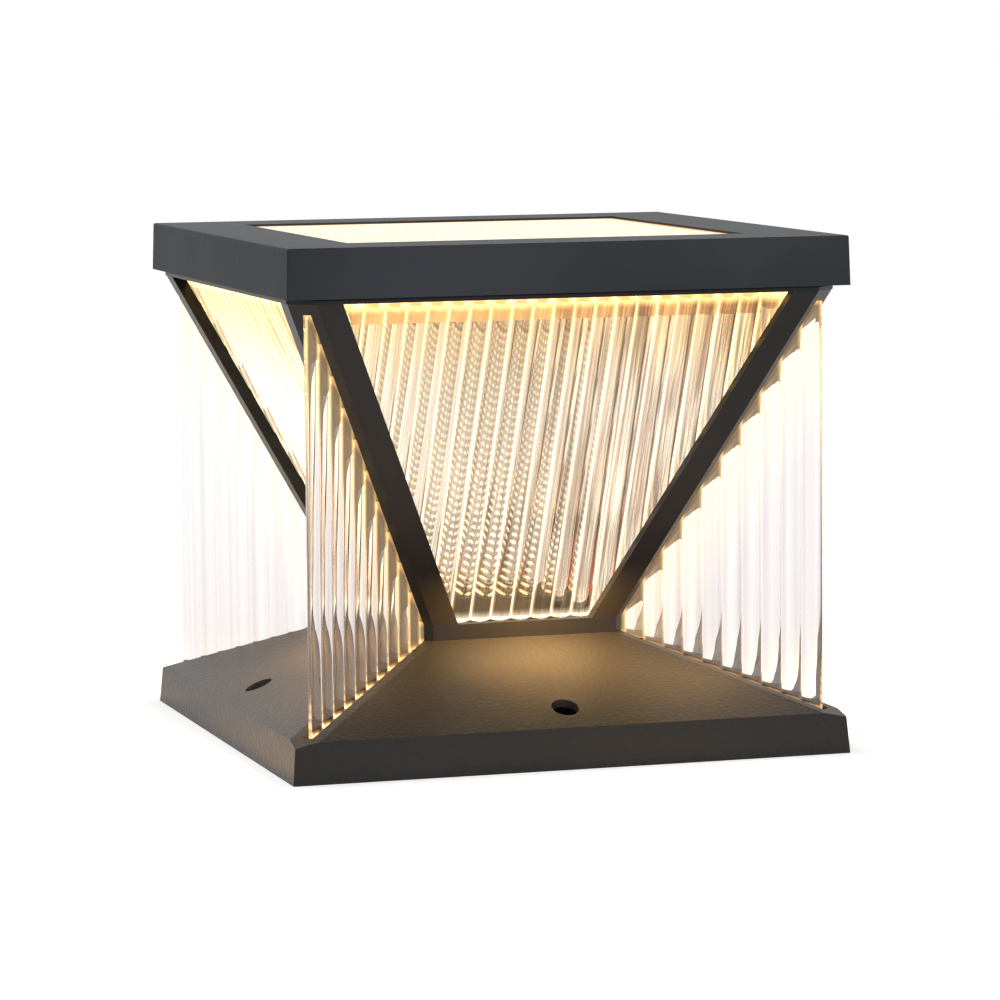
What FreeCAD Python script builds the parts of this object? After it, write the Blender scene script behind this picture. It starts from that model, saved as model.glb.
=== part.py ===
"""Deck post cap light: a square lantern on a cast base, with a lit cap.

Frame: +Z up, origin at the centre of the base's underside, front face towards -Y.
The lantern is an inverted pyramid of fluted panels between four corner bars. Half the
distance between opposite outer planes of those bars is called the reach; it grows
steadily from the collar at the foot to the ring under the cap.
"""
import FreeCAD, Part
import math
import os

import Sketcher
from FreeCAD import Placement, Rotation, Vector

doc = FreeCAD.newDocument("deck_post_cap_light")

# ---------------------------------------------------------------- driving dimensions

DRIVING = (
    ("base_width", 250, "width of the base at its foot"),
    ("base_draft", 1.5, "how far each side of the rim falls back by its top"),
    ("rim_height", 18, "height of the rim"),
    ("rim_wall", 3.5, "thickness of the rim's wall"),
    ("roof_rise", 29.7, "rise of the hipped roof from the rim to the collar"),
    ("roof_wall", 3.3, "upright thickness of the roof"),
    ("hip_cut", 10.4, "leg of the flat cut along each hip, on both sides"),
    ("hip_rib_width", 12, "width of the rib under each hip"),
    ("hip_rib_depth", 4.5, "depth of the rib under each hip"),
    ("edge_radius", 0.8, "radius of the castings' outer edges"),
    ("chamber_width", 120, "inside width of the wiring chamber under the roof"),
    ("chamber_wall", 3, "wall of the wiring chamber"),
    ("recess_depth", 18, "clear height under the chamber's cover"),
    ("boss_radius", 10, "outside of the mounting bosses"),
    ("mount_radius", 108.2, "distance of the mounting holes from the middle"),
    ("head_recess_radius", 6, "recess that takes the mounting screw's head"),
    ("mount_hole_radius", 3.3, "clearance hole of the mounting screw"),
    ("boss_floor", 6, "solid floor under the screw's head"),
    ("collar_width", 104.7, "width of the collar"),
    ("collar_height", 6.8, "height of the collar"),
    ("collar_cut", 10.2, "leg of the cut corners of the collar"),
    ("collar_opening", 80, "width of the opening in the collar"),
    ("lantern_height", 146.6, "height of the corner bars"),
    ("lantern_width", 243, "width across the bars at their top"),
    ("bar_cut", 10, "leg of the diagonal facet of a bar"),
    ("bar_face", 11.5, "width of each outer face of a bar"),
    ("bar_flange", 6, "depth of a bar's flange in front of the panel"),
    ("bar_rebate", 5, "how far a panel's edge reaches behind the flange"),
    ("bar_back", 6.5, "depth of a bar behind the flange"),
    ("panel_thickness", 5, "thickness of a panel over its flutes"),
    ("panel_pitch", 9.3, "width of one flute of a panel"),
    ("panel_sag", 1.6, "height of a flute of a panel"),
    ("fin_reach", 162.9, "distance of a fin's outer edge from the axis"),
    ("fin_thickness", 4.2, "thickness of a fin over its ribs"),
    ("fin_pitch", 9.5, "width of one rib of a fin"),
    ("fin_sag", 1.4, "height of a rib on each face of a fin"),
    ("fin_seat", 2.2, "how deep a fin stands in the hip's slot"),
    ("fin_groove", 4, "depth of the groove for a fin in a bar"),
    ("collar_groove", 3.5, "depth of the groove for a fin in the collar"),
    ("fin_top_drop", 4.6, "distance from a bar's top down to its groove"),
    ("slot_play", 0.3, "gap on each side of a fin in its slot"),
    ("seat_gap", 0.2, "gap between glass pieces and what holds them"),
    ("ring_overhang", 0.4, "how far the ring on top of the bars passes their outer planes"),
    ("ring_thickness", 1.6, "thickness of that ring"),
    ("ring_band", 14.4, "width of that ring's band"),
    ("ring_web", 2.7, "leg of the webs in the corners of the ring's opening"),
    ("gasket_thickness", 0.7, "thickness of the seal under the cap"),
    ("gasket_inset", 0.7, "how far that seal stands back from the ring's edge"),
    ("gasket_band", 9, "width of that seal's band"),
    ("cap_overhang", 3.1, "how far the cap's lower edge passes the ring"),
    ("cap_draft", 0.6, "how far each side of the cap falls back by its top"),
    ("cap_height", 21.4, "height of the cap"),
    ("cap_wall", 5.5, "thickness of the cap's side walls"),
    ("cap_top_wall", 6.5, "thickness of the cap's top"),
    ("cap_lug", 5, "height of the lugs in the cap's corners"),
    ("window_border", 35.7, "width of the cap's top round the window"),
    ("window_ledge", 3.3, "ledge that carries the window's pane"),
    ("window_depth", 4, "depth of the ledge below the cap's top"),
    ("pane_thickness", 2.5, "thickness of the window's pane"),
    ("pane_seal", 0.5, "thickness of the tape under the pane"),
    ("plate_thickness", 4, "thickness of the foot plate"),
    ("board_thickness", 1.6, "thickness of the light boards"),
    ("board_radius", 25, "radius of the round light board"),
    ("column_radius", 30, "outside radius of the inner column"),
    ("column_wall", 3, "wall of the inner column"),
    ("column_top", 185, "height of the column's upper end above the underside"),
    ("seat_height", 12, "height of the ring that holds the column"),
    ("seat_wall", 4, "wall of that ring"),
    ("lid_thickness", 2, "thickness of the column's lid"),
    ("lid_spigot", 3, "depth of the lid's spigot"),
    ("reflector_end_gap", 13, "distance from a reflector's end to the next one's outer face"),
    ("reflector_drop", 9, "how far a reflector hangs below the ring"),
    ("reflector_sheet", 1.2, "thickness of a reflector's sheet"),
    ("reflector_inset", 16.5, "reflectors: distance in from the bars' outer plane at their top"),
    ("strip_inset", 24.5, "distance from a light strip's end to the cap's next wall"),
    ("strip_height", 10, "height of a light strip"),
    ("strip_drop", 1.3, "gap between a light strip and the cap's top"),
    ("strip_pitch", 15, "distance between lights on a strip"),
    ("led_size", 3, "width of one light"),
    ("led_height", 0.9, "height of one light"),
    ("cover_thickness", 2.5, "thickness of the chamber's cover"),
    ("cover_lip", 3, "how far the cover passes the chamber's wall"),
    ("cover_seal", 1.5, "thickness of the cover's seal"),
    ("cover_screw_inset", 7, "distance of the cover's screws from the chamber's wall"),
    ("cover_screw_bite", 6, "how far the cover's screws reach into their posts"),
    ("post_wall", 2.2, "wall of those posts round the screws"),
    ("gland_place", 30, "distance of the cable gland from the middle, both ways"),
    ("gland_thread_radius", 6, "thread of the cable gland"),
    ("gland_flats", 15, "size of the gland's hexagons across their flats"),
    ("gland_cap_length", 10, "length of the gland's clamping cap"),
    ("gland_collar", 4, "height of the gland's fixed hexagon"),
    ("gland_nut_height", 4, "height of the gland's lock nut"),
    ("gland_step", 1, "how much thinner the gland's stem is than its thread"),
    ("gland_mouth", 1.5, "wall at the end of the clamping cap, and its bevel"),
    ("cable_radius", 3.4, "bore for the supply cable"),
    ("driver_length", 84, "length of the driver's case"),
    ("driver_width", 34, "width of the driver's case"),
    ("driver_height", 19.5, "height of the driver's case"),
    ("driver_tab", 7, "length of the fixing tab at each end of the driver"),
    ("tab_thickness", 2, "thickness of those tabs"),
    ("driver_place", 22, "distance of the driver from the middle"),
    ("block_length", 42, "length of the terminal block"),
    ("block_width", 18, "width of the terminal block"),
    ("block_height", 14, "height of the terminal block"),
    ("block_side", 18, "distance of the terminal block from the middle, sideways"),
    ("block_way_radius", 2.4, "radius of a clamp's opening in the block"),
    ("block_way_depth", 5, "depth of those openings"),
    ("lead_radius", 1.2, "radius of the inner leads"),
    ("lead_play", 0.6, "gap round a lead in its hole"),
    ("lead_stand_off", 0.3, "gap between the lamp's lead and the bar it follows"),
    ("screw_radius", 2, "radius of the frame's screws"),
    ("screw_head_radius", 3.5, "radius of their heads"),
    ("screw_head_height", 2.6, "height of their heads"),
    ("screw_bite", 4.3, "how far a frame screw reaches into a bar"),
    ("small_screw_radius", 1.5, "radius of the small screws"),
    ("small_head_radius", 2.7, "radius of their heads"),
    ("small_head_height", 1.8, "height of their heads"),
    ("thread_gap", 0.05, "gap round a screw's thread"),
    ("hole_play", 0.25, "gap round a screw in a clearance hole"),
    ("foot_screw_inset", 9.95, "foot screws: distance in from the collar's outer plane"),
    ("cap_screw_inset", 11.5, "cap screws: distance in from the bars' outer plane"),
)

# ---------------------------------------------------------------- worked-out values

WORKED = (
    ("base_half", "base_width / 2"),
    ("rim_half", "base_half - base_draft"),
    ("collar_half", "collar_width / 2"),
    ("roof_top", "rim_height + roof_rise"),
    ("roof_fall", "roof_rise / (rim_half - collar_half)"),
    ("hip_fall", "roof_fall / sqrt(2)"),
    ("hip_top_r", "(2 * collar_half - hip_cut) / sqrt(2)"),
    ("ceiling", "roof_top - roof_wall"),
    ("hollow_half", "base_half - rim_wall"),
    ("hollow_eaves", "ceiling - (hollow_half - collar_half) * roof_fall"),
    ("chamber_half", "chamber_width / 2"),
    ("cover_half", "chamber_half + chamber_wall + cover_lip"),
    ("cover_top", "recess_depth + cover_thickness"),
    ("chamber_foot", "cover_top + cover_seal"),
    ("cover_screw_at", "chamber_half - cover_screw_inset"),
    ("collar_top", "roof_top + collar_height"),
    ("collar_inside", "collar_opening / 2"),
    ("bar_top", "collar_top + lantern_height"),
    ("reach_top", "lantern_width / 2"),
    ("lean", "(reach_top - collar_half) / lantern_height"),
    ("bar_arm", "bar_cut + bar_face"),
    ("bar_depth", "bar_flange + bar_back"),
    ("slot_width", "fin_thickness + 2 * slot_play"),
    ("groove_top", "bar_top - fin_top_drop"),
    ("reflector_at", "reach_top - reflector_inset"),
    ("reflector_half", "reflector_at - reflector_end_gap"),
    ("ring_half", "reach_top + ring_overhang"),
    ("ring_inside", "ring_half - ring_band"),
    ("gasket_half", "ring_half - gasket_inset"),
    ("gasket_inside", "gasket_half - gasket_band"),
    ("ring_cut", "bar_cut + ring_half - reach_top"),
    ("ring_top", "bar_top + ring_thickness"),
    ("cap_foot", "ring_top + gasket_thickness"),
    ("cap_half", "ring_half + cap_overhang"),
    ("cap_top", "cap_foot + cap_height"),
    ("cap_inside", "cap_half - cap_wall"),
    ("cap_ceiling", "cap_top - cap_top_wall"),
    ("window_half", "cap_half - window_border"),
    ("pane_width", "2 * (window_half - seat_gap)"),
    ("strip_half", "cap_inside - strip_inset"),
    ("ledge_top", "cap_top - window_depth"),
    ("plate_top", "roof_top + plate_thickness"),
    ("board_top", "plate_top + board_thickness"),
    ("foot_screw_at", "collar_half - foot_screw_inset"),
    ("cap_screw_at", "reach_top - cap_screw_inset"),
    ("lug_foot", "(cap_screw_at - screw_head_radius / sqrt(2)) * 2"),
    ("strip_top", "cap_ceiling - strip_drop"),
    ("strip_at", "cap_inside - board_thickness"),
    ("driver_top", "cover_top + driver_height"),
)

PLACE_WORDS = (("front_right", -1), ("back_right", 0), ("back_left", 1), ("front_left", 2))
SIDE_WORDS = (("front", 0), ("right", 1), ("back", 2), ("left", 3))
CORNERS = ((1, 1), (-1, 1), (-1, -1), (1, -1))
QUARTER = 90
BLOCK_WAYS = 3
# Rings of lights on the round board: share of its radius, and lights on the ring.
LIGHT_RINGS = ((0, 1), (0.38, 6), (0.72, 12))

sheet = doc.addObject("Spreadsheet::Sheet", "Sizes")
worked = doc.addObject("Spreadsheet::Sheet", "Worked")
for row, (alias, value, words) in enumerate(DRIVING, start=1):
    sheet.set(f"A{row}", words)
    sheet.set(f"B{row}", str(value))
    sheet.setAlias(f"B{row}", alias)
DRIVING_NAMES = {alias for alias, value, words in DRIVING}
WORKED_NAMES = {alias for alias, formula in WORKED}


def bound(formula):
    """The formula with each named size written as a cell of its sheet."""
    words = []
    word = ""
    for letter in formula + " ":
        if letter.isalnum() or letter in "_.":
            word += letter
            continue
        if word in DRIVING_NAMES:
            word = "Sizes." + word
        elif word in WORKED_NAMES:
            word = "Worked." + word
        words.append(word + letter)
        word = ""
    return "".join(words).strip()


for row, (alias, formula) in enumerate(WORKED, start=1):
    own = bound(formula).replace("Worked.", "")
    worked.set(f"A{row}", "=" + own)
    worked.setAlias(f"A{row}", alias)
doc.recompute()


def size(formula):
    """The number that a formula of named sizes stands for."""
    value = sheet.evalExpression(bound(formula))
    return float(getattr(value, "Value", value))


# ---------------------------------------------------------------- small helpers


def bind(thing, prop, formula):
    """Tie one property of an object to the sheets."""
    thing.setExpression(prop, bound(formula))


def new_body(label):
    """An empty body whose name is the piece's own."""
    made = doc.addObject("PartDesign::Body", label)
    made.Label = label
    return made


def origin_part(body, role):
    """One of the planes or axes of a body's own origin."""
    return next(part for part in body.Origin.OriginFeatures if part.Role == role)


def new_sketch(body, name, plane="XY_Plane", height="0", turn=0):
    """An empty sketch on a plane of the body, lifted along it or turned about the axis."""
    sketch = body.newObject("Sketcher::SketchObject", name)
    sketch.AttachmentSupport = [(origin_part(body, plane), "")]
    sketch.MapMode = "FlatFace"
    sketch.AttachmentOffset = Placement(Vector(0, 0, 0), Rotation(Vector(0, 1, 0), turn))
    bind(sketch, "AttachmentOffset.Base.z", height)
    return sketch


def add_outline(sketch, corners):
    """A closed outline whose every corner is tied to the sheets."""
    first = sketch.GeometryCount
    count = len(corners)
    spots = [Vector(size(across), size(up), 0) for across, up in corners]
    for i in range(count):
        sketch.addGeometry(Part.LineSegment(spots[i], spots[(i + 1) % count]), False)
    for i in range(count):
        follows = first + (i + 1) % count
        sketch.addConstraint(Sketcher.Constraint("Coincident", first + i, 2, follows, 1))
    for i, corner in enumerate(corners):
        tie_point(sketch, first + i, 1, corner)


def tie_point(sketch, line, end, place):
    """Hold one point of a sketch at a place given by two formulas."""
    for kind, axis, formula in (("DistanceX", -2, place[0]), ("DistanceY", -1, place[1])):
        value = size(formula)
        if formula == "0":
            sketch.addConstraint(Sketcher.Constraint("PointOnObject", line, end, axis))
            continue
        tie = sketch.addConstraint(Sketcher.Constraint(kind, -1, 1, line, end, value))
        sketch.setExpression(f"Constraints[{tie}]", bound(formula))


def add_circle(sketch, place, radius):
    """A circle with its centre and radius tied to the sheets."""
    middle = Vector(size(place[0]), size(place[1]), 0)
    ring = Part.Circle(middle, Vector(0, 0, 1), size(radius))
    line = sketch.addGeometry(ring, False)
    tie_point(sketch, line, 3, place)
    tie = sketch.addConstraint(Sketcher.Constraint("Radius", line, size(radius)))
    sketch.setExpression(f"Constraints[{tie}]", bound(radius))


def square(half, cut=None):
    """Corners of a square about the axis, with its corners cut if a leg is given."""
    if cut is None:
        return [(half, half), (f"-({half})", half), (f"-({half})", f"-({half})"), (half, f"-({half})")]
    short = f"({half} - {cut})"
    return [
        (half, f"-{short}"), (half, short), (short, half), (f"-{short}", half),
        (f"-({half})", short), (f"-({half})", f"-{short}"), (f"-{short}", f"-({half})"),
        (short, f"-({half})"),
    ]


def add_pad(body, sketch, length, name="pad", both_ways=False):
    """Build up a sketch by a length."""
    pad = body.newObject("PartDesign::Pad", name)
    pad.Profile = sketch
    bind(pad, "Length", length)
    if both_ways:
        pad.SideType = "Symmetric"
    doc.recompute()
    return pad


def cut_pocket(body, sketch, depth, name="pocket", both_ways=False, upwards=True):
    """Cut a sketch by a depth, upwards unless told otherwise."""
    before = body.Shape.Volume
    pocket = body.newObject("PartDesign::Pocket", name)
    pocket.Profile = sketch
    bind(pocket, "Length", depth)
    if both_ways:
        pocket.SideType = "Symmetric"
    else:
        pocket.Reversed = upwards
    doc.recompute()
    if not body.Shape.Volume < before:
        raise ValueError(f"{body.Label}: {name} cuts nothing")
    return pocket


def add_frustum(body, low, high, foot, height, name, kind="Additive"):
    """A square frustum about the axis, given by its half widths, added or cut away."""
    made = body.newObject(f"PartDesign::{kind}Wedge", name)
    made.Placement = Placement(Vector(0, 0, size(foot)), Rotation(Vector(1, 0, 0), QUARTER))
    bind(made, "Placement.Base.z", foot)
    made.Ymin = 0
    bind(made, "Ymax", height)
    for axis in "XZ":
        bind(made, f"{axis}min", f"-({low})")
        bind(made, f"{axis}max", low)
        bind(made, f"{axis}2min", f"-({high})")
        bind(made, f"{axis}2max", high)
    doc.recompute()
    return made


def repeat_round(body, features, count=4, name="round"):
    """Repeat features about the upright axis."""
    pattern = body.newObject("PartDesign::PolarPattern", name)
    pattern.Originals = features
    pattern.Axis = (origin_part(body, "Z_Axis"), [""])
    pattern.Angle = 360
    pattern.Occurrences = count
    body.Tip = pattern
    doc.recompute()
    return pattern


def round_edges(body, wanted, radius, name="edges"):
    """Round the edges of a body that a test picks out."""
    base = body.Tip
    names = [f"Edge{i}" for i, edge in enumerate(base.Shape.Edges, start=1) if wanted(edge)]
    fillet = body.newObject("PartDesign::Fillet", name)
    fillet.Base = (base, names)
    bind(fillet, "Radius", radius)
    doc.recompute()
    return fillet


def ring_body(label, outer, inner, foot, height, cut=None, inner_cut=None):
    """A flat square ring."""
    body = new_body(label)
    sketch = new_sketch(body, label + "_outline", height=foot)
    add_outline(sketch, square(outer, cut))
    add_outline(sketch, square(inner, inner_cut))
    add_pad(body, sketch, height)
    return body


def new_cylinder(name, radius, height, place, foot):
    """An upright cylinder tied to the sheets."""
    made = doc.addObject("Part::Cylinder", name)
    bind(made, "Radius", radius)
    bind(made, "Height", height)
    bind(made, "Placement.Base.x", place[0])
    bind(made, "Placement.Base.y", place[1])
    bind(made, "Placement.Base.z", foot)
    return made


def new_box(name, lengths, low_corner):
    """A box tied to the sheets, from its low corner."""
    made = doc.addObject("Part::Box", name)
    for prop, formula in zip(("Length", "Width", "Height"), lengths):
        bind(made, prop, formula)
    for axis, formula in zip("xyz", low_corner):
        bind(made, f"Placement.Base.{axis}", formula)
    return made


def group(label, members):
    """Separate solids of one kind as one piece of the list."""
    made = doc.addObject("Part::Compound", label)
    made.Label = label
    made.Links = members
    return made


def fused(label, members):
    """One solid from several."""
    made = doc.addObject("Part::MultiFuse", label)
    made.Label = label
    made.Shapes = members
    return made


def cut_from(label, base, tool):
    """One solid with another taken out of it."""
    made = doc.addObject("Part::Cut", label)
    made.Label = label
    made.Base = base
    made.Tool = tool
    return made


def screw_set(label, places, shank, head, foot, length, head_up):
    """Screws with round heads: the shank stands on foot, the head above or below it."""
    made = []
    head_foot = f"{foot} + {length}" if head_up else f"{foot} - {head[1]}"
    for i, place in enumerate(places):
        stem = new_cylinder(f"{label}_stem_{i}", shank, length, place, foot)
        cap = new_cylinder(f"{label}_head_{i}", head[0], head[1], place, head_foot)
        made.append(fused(f"{label}_{i}", [stem, cap]))
    return group(label, made)


def corner_places(distance):
    """The same place in each of the four corners."""
    return [(f"{sx} * ({distance})", f"{sy} * ({distance})") for sx, sy in CORNERS]


# ---------------------------------------------------------------- base


def hip_line(depth):
    """Two points of a line parallel to the hip's flat, that depth below it."""
    beyond = "(base_half + rim_wall) * sqrt(2)"
    low = (beyond, f"roof_top - {depth} - ({beyond} - hip_top_r) * hip_fall")
    high = ("hip_top_r - hip_cut", f"roof_top - {depth} + hip_cut * hip_fall")
    return low, high


def make_base():
    """Cast base: drafted rim, hipped roof with cut hips, hollow below, screw bosses."""
    body = new_body("base_plate")
    add_frustum(body, "base_half", "rim_half", "0", "rim_height", "rim")
    add_frustum(body, "rim_half", "collar_half", "rim_height", "roof_rise", "roof")

    low, high = hip_line("0")
    hip = new_sketch(body, "hip_flat", "XZ_Plane", turn=45)
    add_outline(hip, [low, high, (high[0], "roof_top + hip_cut"), (low[0], "roof_top + hip_cut")])
    flat = cut_pocket(body, hip, "4 * hip_cut", "hip_flat_cut", both_ways=True)
    repeat_round(body, [flat], name="hip_flats")
    round_edges(body, is_rim_corner, "edge_radius", "rim_corners")

    hollow_foot = new_sketch(body, "hollow_foot")
    add_outline(hollow_foot, square("hollow_half"))
    cut_pocket(body, hollow_foot, "hollow_eaves", "rim_hollow")
    add_frustum(body, "hollow_half", "collar_half", "hollow_eaves", "ceiling - hollow_eaves",
                "roof_hollow", "Subtractive")

    rib = new_sketch(body, "hip_rib", "XZ_Plane", turn=45)
    rib_end = "((hollow_half + rim_wall / 2) * sqrt(2) - hip_rib_width / 2)"
    rib_start = "foot_screw_at * sqrt(2) + screw_head_radius + screw_radius"
    root = "roof_wall / 6"
    under = "roof_top - roof_wall + (collar_half * sqrt(2) - ({})) * hip_fall"
    add_outline(rib, [
        (rib_start, f"ceiling + {root}"), ("collar_half * sqrt(2)", f"ceiling + {root}"),
        (rib_end, under.format(rib_end) + f" + {root}"),
        (rib_end, under.format(rib_end) + " - hip_rib_depth"),
        ("collar_half * sqrt(2)", "ceiling - hip_rib_depth"), (rib_start, "ceiling - hip_rib_depth"),
    ])
    ribs = add_pad(body, rib, "hip_rib_width", "hip_rib_pad", both_ways=True)
    repeat_round(body, [ribs], name="hip_ribs")

    wall = new_sketch(body, "chamber_wall", height="chamber_foot")
    add_outline(wall, square("chamber_half + chamber_wall"))
    add_outline(wall, square("chamber_half"))
    wall_height = f"ceiling - chamber_foot - (chamber_half - collar_half) * roof_fall + {root}"
    add_pad(body, wall, wall_height, "chamber_walls")
    posts = new_sketch(body, "cover_posts", height="chamber_foot")
    for place in corner_places("cover_screw_at"):
        add_circle(posts, place, "small_screw_radius + post_wall")
    add_pad(body, posts, f"ceiling - chamber_foot + {root}", "cover_post_pads")
    post_holes = new_sketch(body, "cover_post_holes", height="chamber_foot")
    for place in corner_places("cover_screw_at"):
        add_circle(post_holes, place, "small_screw_radius + thread_gap")
    cut_pocket(body, post_holes, "cover_screw_bite + small_screw_radius", "cover_post_bores")

    boss = new_sketch(body, "mount_boss")
    add_circle(boss, ("0", "-mount_radius"), "boss_radius")
    boss_height = "roof_top - (mount_radius - collar_half + boss_radius) * roof_fall - roof_wall / 2"
    bosses = add_pad(body, boss, boss_height, "mount_boss_pad")
    repeat_round(body, [bosses], name="mount_bosses")
    recess = new_sketch(body, "head_recess", height="boss_floor")
    add_circle(recess, ("0", "-mount_radius"), "head_recess_radius")
    recesses = cut_pocket(body, recess, "roof_top", "head_recess_cut")
    repeat_round(body, [recesses], name="head_recesses")
    hole = new_sketch(body, "mount_hole")
    add_circle(hole, ("0", "-mount_radius"), "mount_hole_radius")
    holes = cut_pocket(body, hole, "boss_floor", "mount_hole_cut")
    repeat_round(body, [holes], name="mount_holes")

    slot = new_sketch(body, "fin_slot", "XZ_Plane", turn=45)
    add_outline(slot, fin_slot_outline())
    slots = cut_pocket(body, slot, "slot_width", "fin_slot_cut", both_ways=True)
    repeat_round(body, [slots], name="fin_slots")

    bores = new_sketch(body, "roof_bores", height="ceiling - roof_wall")
    for place in corner_places("foot_screw_at"):
        add_circle(bores, place, "screw_radius + hole_play")
    for place in lead_places():
        add_circle(bores, place, "lead_radius + lead_play")
    cut_pocket(body, bores, "3 * roof_wall", "roof_bore_cut")
    return body


def is_rim_corner(edge):
    """True for the four upright corners of the rim."""
    low, high = sorted(vertex.Z for vertex in edge.Vertexes)
    far = min(abs(edge.Vertexes[0].X), abs(edge.Vertexes[0].Y))
    return far > size("rim_half") - 1 and low < 1 and high > size("rim_height") / 2


def fin_slot_outline():
    """Side view of the slot in a hip, a little longer than the fin's foot."""
    end = "fin_reach + fin_thickness / 2"
    floor = "roof_top - fin_seat - seat_gap - ({} - hip_top_r) * hip_fall"
    start = "hip_top_r - collar_groove"
    return [
        (start, floor.format(start)), (end, floor.format(end)),
        (end, "roof_top + hip_cut"), (start, "roof_top + hip_cut"),
    ]


def lead_places():
    """Where the two lamp leads pass the roof: the foot board's, then the strips'."""
    strip_lead = f"({lead_line('plate_top')}) / sqrt(2)"
    return [("board_radius / 2", "driver_place"), (strip_lead, strip_lead)]


# ---------------------------------------------------------------- lantern frame

def reach_at(height):
    """Formula of the bars' outer plane at a height."""
    return f"(collar_half + ({height} - collar_top) * lean)"


def facet_r(height):
    """Distance of a bar's diagonal facet from the axis at a height."""
    return f"((2 * {reach_at(height)} - bar_cut) / sqrt(2))"


def lead_line(height):
    """Distance from the axis of the lead that follows the back of a bar."""
    back = f"(2 * {reach_at(height)} - bar_arm + bar_rebate - bar_depth)"
    return f"{back} / sqrt(2) - lead_radius - lead_stand_off"


def bar_outline(reach):
    """Level section of a bar in the corner where both coordinates are positive."""
    inner = f"{reach} - bar_arm"
    deep = f"{reach} - bar_arm + bar_rebate"
    half = [
        (f"{reach} - bar_cut", reach), (inner, reach), (inner, f"{reach} - bar_flange"),
        (deep, f"{reach} - bar_flange"), (deep, f"{reach} - bar_depth"),
    ]
    return half + [(up, across) for across, up in reversed(half)]


def make_bar(label, quarter):
    """Corner bar: a leaning prism with rebates for two panels and a groove for a fin."""
    body = new_body(label)
    section = new_sketch(body, label + "_section", height="collar_top")
    add_outline(section, bar_outline("collar_half"))
    prism = add_pad(body, section, "lantern_height", label + "_prism")
    prism.UseCustomVector = True
    prism.AlongSketchNormal = True
    prism.Direction = Vector(size("lean"), size("lean"), 1)
    bind(prism, "Direction.x", "lean")
    bind(prism, "Direction.y", "lean")
    doc.recompute()
    groove = new_sketch(body, label + "_groove", "XZ_Plane", turn=45)
    add_outline(groove, [
        (f"{facet_r('collar_top')} - fin_groove", "collar_top"),
        (f"{facet_r('groove_top')} - fin_groove", "groove_top"),
        (f"{facet_r('groove_top')} + fin_groove", "groove_top"),
        (f"{facet_r('collar_top')} + fin_groove", "collar_top"),
    ])
    cut_pocket(body, groove, "slot_width", label + "_groove_cut", both_ways=True)
    foot_hole = new_sketch(body, label + "_foot_hole", height="collar_top")
    add_circle(foot_hole, ("foot_screw_at", "foot_screw_at"), "screw_radius + thread_gap")
    cut_pocket(body, foot_hole, "screw_bite + hole_play", label + "_foot_bore")
    head_hole = new_sketch(body, label + "_head_hole", height="bar_top")
    add_circle(head_hole, ("cap_screw_at", "cap_screw_at"), "screw_radius + thread_gap")
    cut_pocket(body, head_hole, "screw_bite + hole_play", label + "_head_bore", upwards=False)
    body.Placement = Placement(Vector(), Rotation(Vector(0, 0, 1), QUARTER * quarter))
    return body


def make_collar():
    """Square collar with cut corners, a groove for each fin and four screw holes."""
    body = new_body("foot_collar")
    sketch = new_sketch(body, "collar_outline", height="roof_top")
    add_outline(sketch, square("collar_half", "collar_cut"))
    add_outline(sketch, square("collar_inside"))
    add_pad(body, sketch, "collar_height")
    groove = new_sketch(body, "collar_groove", "XZ_Plane", turn=45)
    far = "(2 * collar_half - collar_cut) / sqrt(2)"
    add_outline(groove, [
        (f"{far} - collar_groove", "roof_top"), (f"{far} + collar_cut", "roof_top"),
        (f"{far} + collar_cut", "collar_top"), (f"{far} - collar_groove", "collar_top"),
    ])
    cut = cut_pocket(body, groove, "slot_width", "collar_groove_cut", both_ways=True)
    repeat_round(body, [cut], name="collar_grooves")
    holes = new_sketch(body, "collar_holes", height="roof_top")
    for place in corner_places("foot_screw_at"):
        add_circle(holes, place, "screw_radius + hole_play")
    cut_pocket(body, holes, "collar_height", "collar_bores")
    return body


def make_top_ring():
    """Flat ring on the bars' heads; its edge shows under the cap."""
    body = ring_body("top_ring", "ring_half", "ring_inside", "bar_top", "ring_thickness",
                     "ring_cut", "ring_web")
    holes = new_sketch(body, "ring_holes", height="bar_top")
    for place in corner_places("cap_screw_at"):
        add_circle(holes, place, "screw_radius + hole_play")
    cut_pocket(body, holes, "ring_thickness", "ring_bores")
    return body


# ---------------------------------------------------------------- fluted pieces


def bulge(start, end, rise):
    """Arc from one point to another whose middle stands off their line by a rise."""
    along = end.sub(start)
    middle = start.add(end).multiply(0.5)
    off = Vector(-along.z, 0, along.x).normalize().multiply(rise)
    return Part.Arc(start, middle.add(off), end).toShape()


def fluted_stock(label, first, count, pitch, rise, back, length):
    """A bar of flutes along Y: round flutes towards +Z, and a flat or fluted back."""
    edges = []
    stops = [first + i * pitch for i in range(count + 1)]
    front = back[0]
    for left, right in zip(stops, stops[1:]):
        edges.append(bulge(Vector(left, 0, front), Vector(right, 0, front), rise))
    edges.append(Part.makeLine(Vector(stops[-1], 0, front), Vector(stops[-1], 0, back[1])))
    if back[2]:
        for right, left in zip(stops[::-1], stops[-2::-1]):
            edges.append(bulge(Vector(right, 0, back[1]), Vector(left, 0, back[1]), rise))
    else:
        edges.append(Part.makeLine(Vector(stops[-1], 0, back[1]), Vector(stops[0], 0, back[1])))
    edges.append(Part.makeLine(Vector(stops[0], 0, back[1]), Vector(stops[0], 0, front)))
    face = Part.Face(Part.Wire(edges))
    stock = doc.addObject("Part::Feature", label)
    stock.Shape = face.extrude(Vector(0, length, 0))
    return stock


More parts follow.
